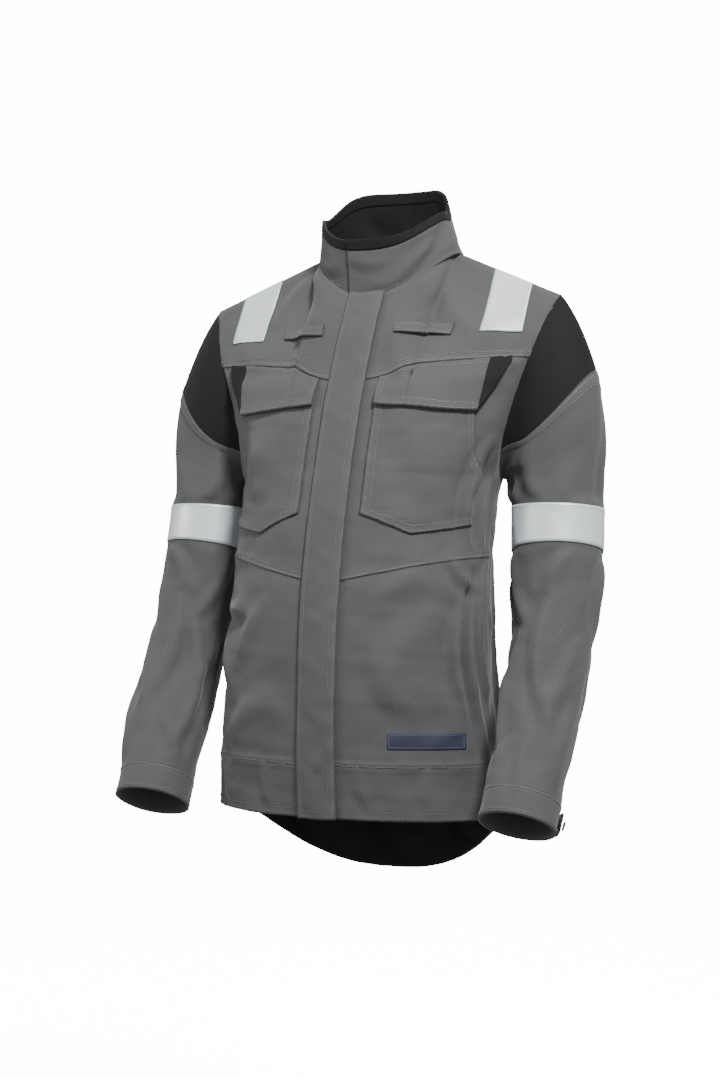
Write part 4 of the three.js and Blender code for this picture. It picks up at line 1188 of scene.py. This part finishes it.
for hand, sign in HANDS:
    lean = SLEEVE_LEAN * np.array([sign, 1, 1])
    sleeve_pieces = []

    def tube(name, start, end, lift, material, nodes, thick=CLOTH_THICK, steps=(108, 130),
             s=sign):
        def shape(u, v, off):
            psi = lerp(math.radians(-90), math.radians(270), u)
            k0 = start(psi)
            k = lerp(k0, end, v)
            edge = nearest((k - k0) * SLEEVE_LENGTH, (end - k) * SLEEVE_LENGTH)
            flat = np.stack([psi * 46, k * SLEEVE_LENGTH], -1)
            return sleeve(k, psi, lift(k, psi) + off, s), flat, edge

        made = cloth_piece(f"{name}_cloth", steps, shape, material, nodes, body=None,
                           thick=thick, closed=True)
        sleeve_pieces.append(made)

    low, high = math.radians(-50), math.radians(230)
    insert_low = lambda psi: np.where((psi > low) & (psi < high), np.maximum(insert_edge(psi), 0), 0)
    grey_lift = lambda k, psi: CLOTH + 0.8 * (1 - smooth((k - insert_low(psi)) * SLEEVE_LENGTH, 6, 9))
    tube(f"sleeve_{hand}", insert_low, CUFF_START + 0.008, grey_lift, GREY_TWILL,
         [f"sleeve_{hand}"])
    tube(f"arm_band_{hand}", lambda psi: BAND_TOP + 0 * psi, BAND_TOP + BAND_WIDE / SLEEVE_LENGTH,
         lambda k, psi: CLOTH + 1.1, SILVER_TAPE, [f"arm_band_{hand}"], 0.8, (108, 14))
    tube(f"cuff_{hand}", lambda psi: CUFF_START + 0 * psi, 1.0,
         lambda k, psi: 2.6 + 0.5 * (1 - smooth((1 - k) * SLEEVE_LENGTH, 0, 4)), GREY_TWILL,
         [f"cuff_{hand}"], 2.2, (108, 12))

    def insert_shape(u, v, off, s=sign):
        psi = lerp(math.radians(-46), math.radians(226), u)
        k = v * (np.maximum(insert_edge(psi), 0) + 0.008)
        edge = nearest(k * SLEEVE_LENGTH)
        return sleeve(k, psi, CLOTH + off, s), np.stack([psi * 60, k * SLEEVE_LENGTH], -1), edge

    sleeve_pieces.append(
        cloth_piece(f"sleeve_insert_{hand}_cloth", (110, 30), insert_shape, BLACK_TWILL,
                    [f"sleeve_insert_{hand}"], body=None))

    sleeve_thread, band_thread = bmesh.new(), bmesh.new()
    sleeve_face = lambda k, psi, lift, s=sign: sleeve(k, psi, lift, s)
    angles = np.radians(np.linspace(-88, 268, 40))
    for k, lift in ((CUFF_START + 0.006, 3.1), (1 - 0.008, 3.2)):
        stitch_row(sleeve_thread, sleeve_face, [(k, psi) for psi in angles], lift)
    for off in (2.0, 7.0):
        insert_angles = np.radians(np.linspace(-44, 224, 40))
        route = [(insert_edge(psi) + off / SLEEVE_LENGTH, psi) for psi in insert_angles]
        stitch_row(sleeve_thread, sleeve_face, route, CLOTH + 0.9)
    for k in (BAND_TOP + 0.006, BAND_TOP + BAND_WIDE / SLEEVE_LENGTH - 0.006):
        stitch_row(band_thread, sleeve_face, [(k, psi) for psi in angles], CLOTH + 1.15)
    for name, rows, colour, slot in (
        ("sleeve", sleeve_thread, thread, "grey_twill"),
        ("arm_band", band_thread, pale_thread, "silver_tape"),
    ):
        stitches = finish_mesh(f"{name}_stitching_{hand}", rows, colour, body=None)
        sleeve_pieces.append(stitches)
    for piece in sleeve_pieces:
        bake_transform(piece)

    # Cuff tab: a pointed strip whose back end is sewn to the cuff.
    TAB_FROM, TAB_TO = math.radians(6), math.radians(72)

    def tab_shape(u, v, off, s=sign):
        psi = lerp(TAB_FROM, TAB_TO, u)
        narrow = 1 - 0.35 * smooth(u, 0.8, 1.0)
        k = CUFF_START + CUFF_TALL / SLEEVE_LENGTH * (0.5 + (v - 0.5) * 0.8 * narrow)
        lift = 3.8 + 3.0 * smooth(u, 0.0, 0.5)
        edge = nearest(u * 46, (1 - u) * 46, v * 25, (1 - v) * 25)
        return sleeve(k, psi, lift + off, s), np.stack([u * 46, v * 25], -1), edge

    tab = cloth_piece(f"cuff_tab_{hand}_cloth", (26, 14), tab_shape, GREY_TWILL,
                      [f"cuff_tab_{hand}"], body=None, thick=1.8)
    tab_thread = bmesh.new()
    tab_face = lambda u, v, lift, f=tab_shape: f(u, v, lift)[0]
    route = [(0.04, 0.1), (0.94, 0.12), (0.94, 0.88), (0.04, 0.9), (0.04, 0.1)]
    stitch_row(tab_thread, tab_face, route, 0.05)
    tab_stitches = finish_mesh(f"cuff_tab_stitching_{hand}", tab_thread, thread, body=None)
    tab_ends = [Vector(tab_face(np.array(u), np.array(0.5), 0.0)) for u in (0.04, 0.24)]
    for piece in (tab, tab_stitches):
        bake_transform(piece)

    # Press stud on the tab: a domed cap with a rolled rim.
    low_corner, high_corner = (Vector(c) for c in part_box(f"cuff_stud_{hand}"))
    centre = (low_corner + high_corner) / 2
    stud_psi = np.array(math.radians(54.0))
    stud_k = np.array((CUFF_START + 1) / 2)
    smooth_at = lambda lift: sleeve_smooth(stud_k, stud_psi, np.array(lift), sign)
    out = Vector(smooth_at(1.0) - smooth_at(0.0)).normalized()
    stud = bmesh.new()
    bmesh.ops.create_circle(stud, cap_ends=True, segments=28, radius=6 * MM)
    for inset, rise in ((0.5, 0.8), (0.6, 0.5), (0.5, -0.5), (1.2, 0.5), (1.4, 0.35)):
        top = max(stud.faces, key=lambda face: face.calc_center_median().z)
        bmesh.ops.inset_region(stud, faces=[top], thickness=inset * MM, depth=0.0)
        bmesh.ops.translate(stud, vec=(0, 0, rise * MM), verts=top.verts)
    facing_out = out.to_track_quat("Z", "Y").to_matrix().to_4x4()
    stud.transform(Matrix.Translation(centre - out * 1.0 * MM) @ facing_out)
    bmesh.ops.recalc_face_normals(stud, faces=stud.faces)
    for face in stud.faces:
        face.smooth = True
    finish_mesh(f"cuff_stud_{hand}_cap", stud, enamel, [f"cuff_stud_{hand}"],
                body=f"cuff_tab_{hand}")
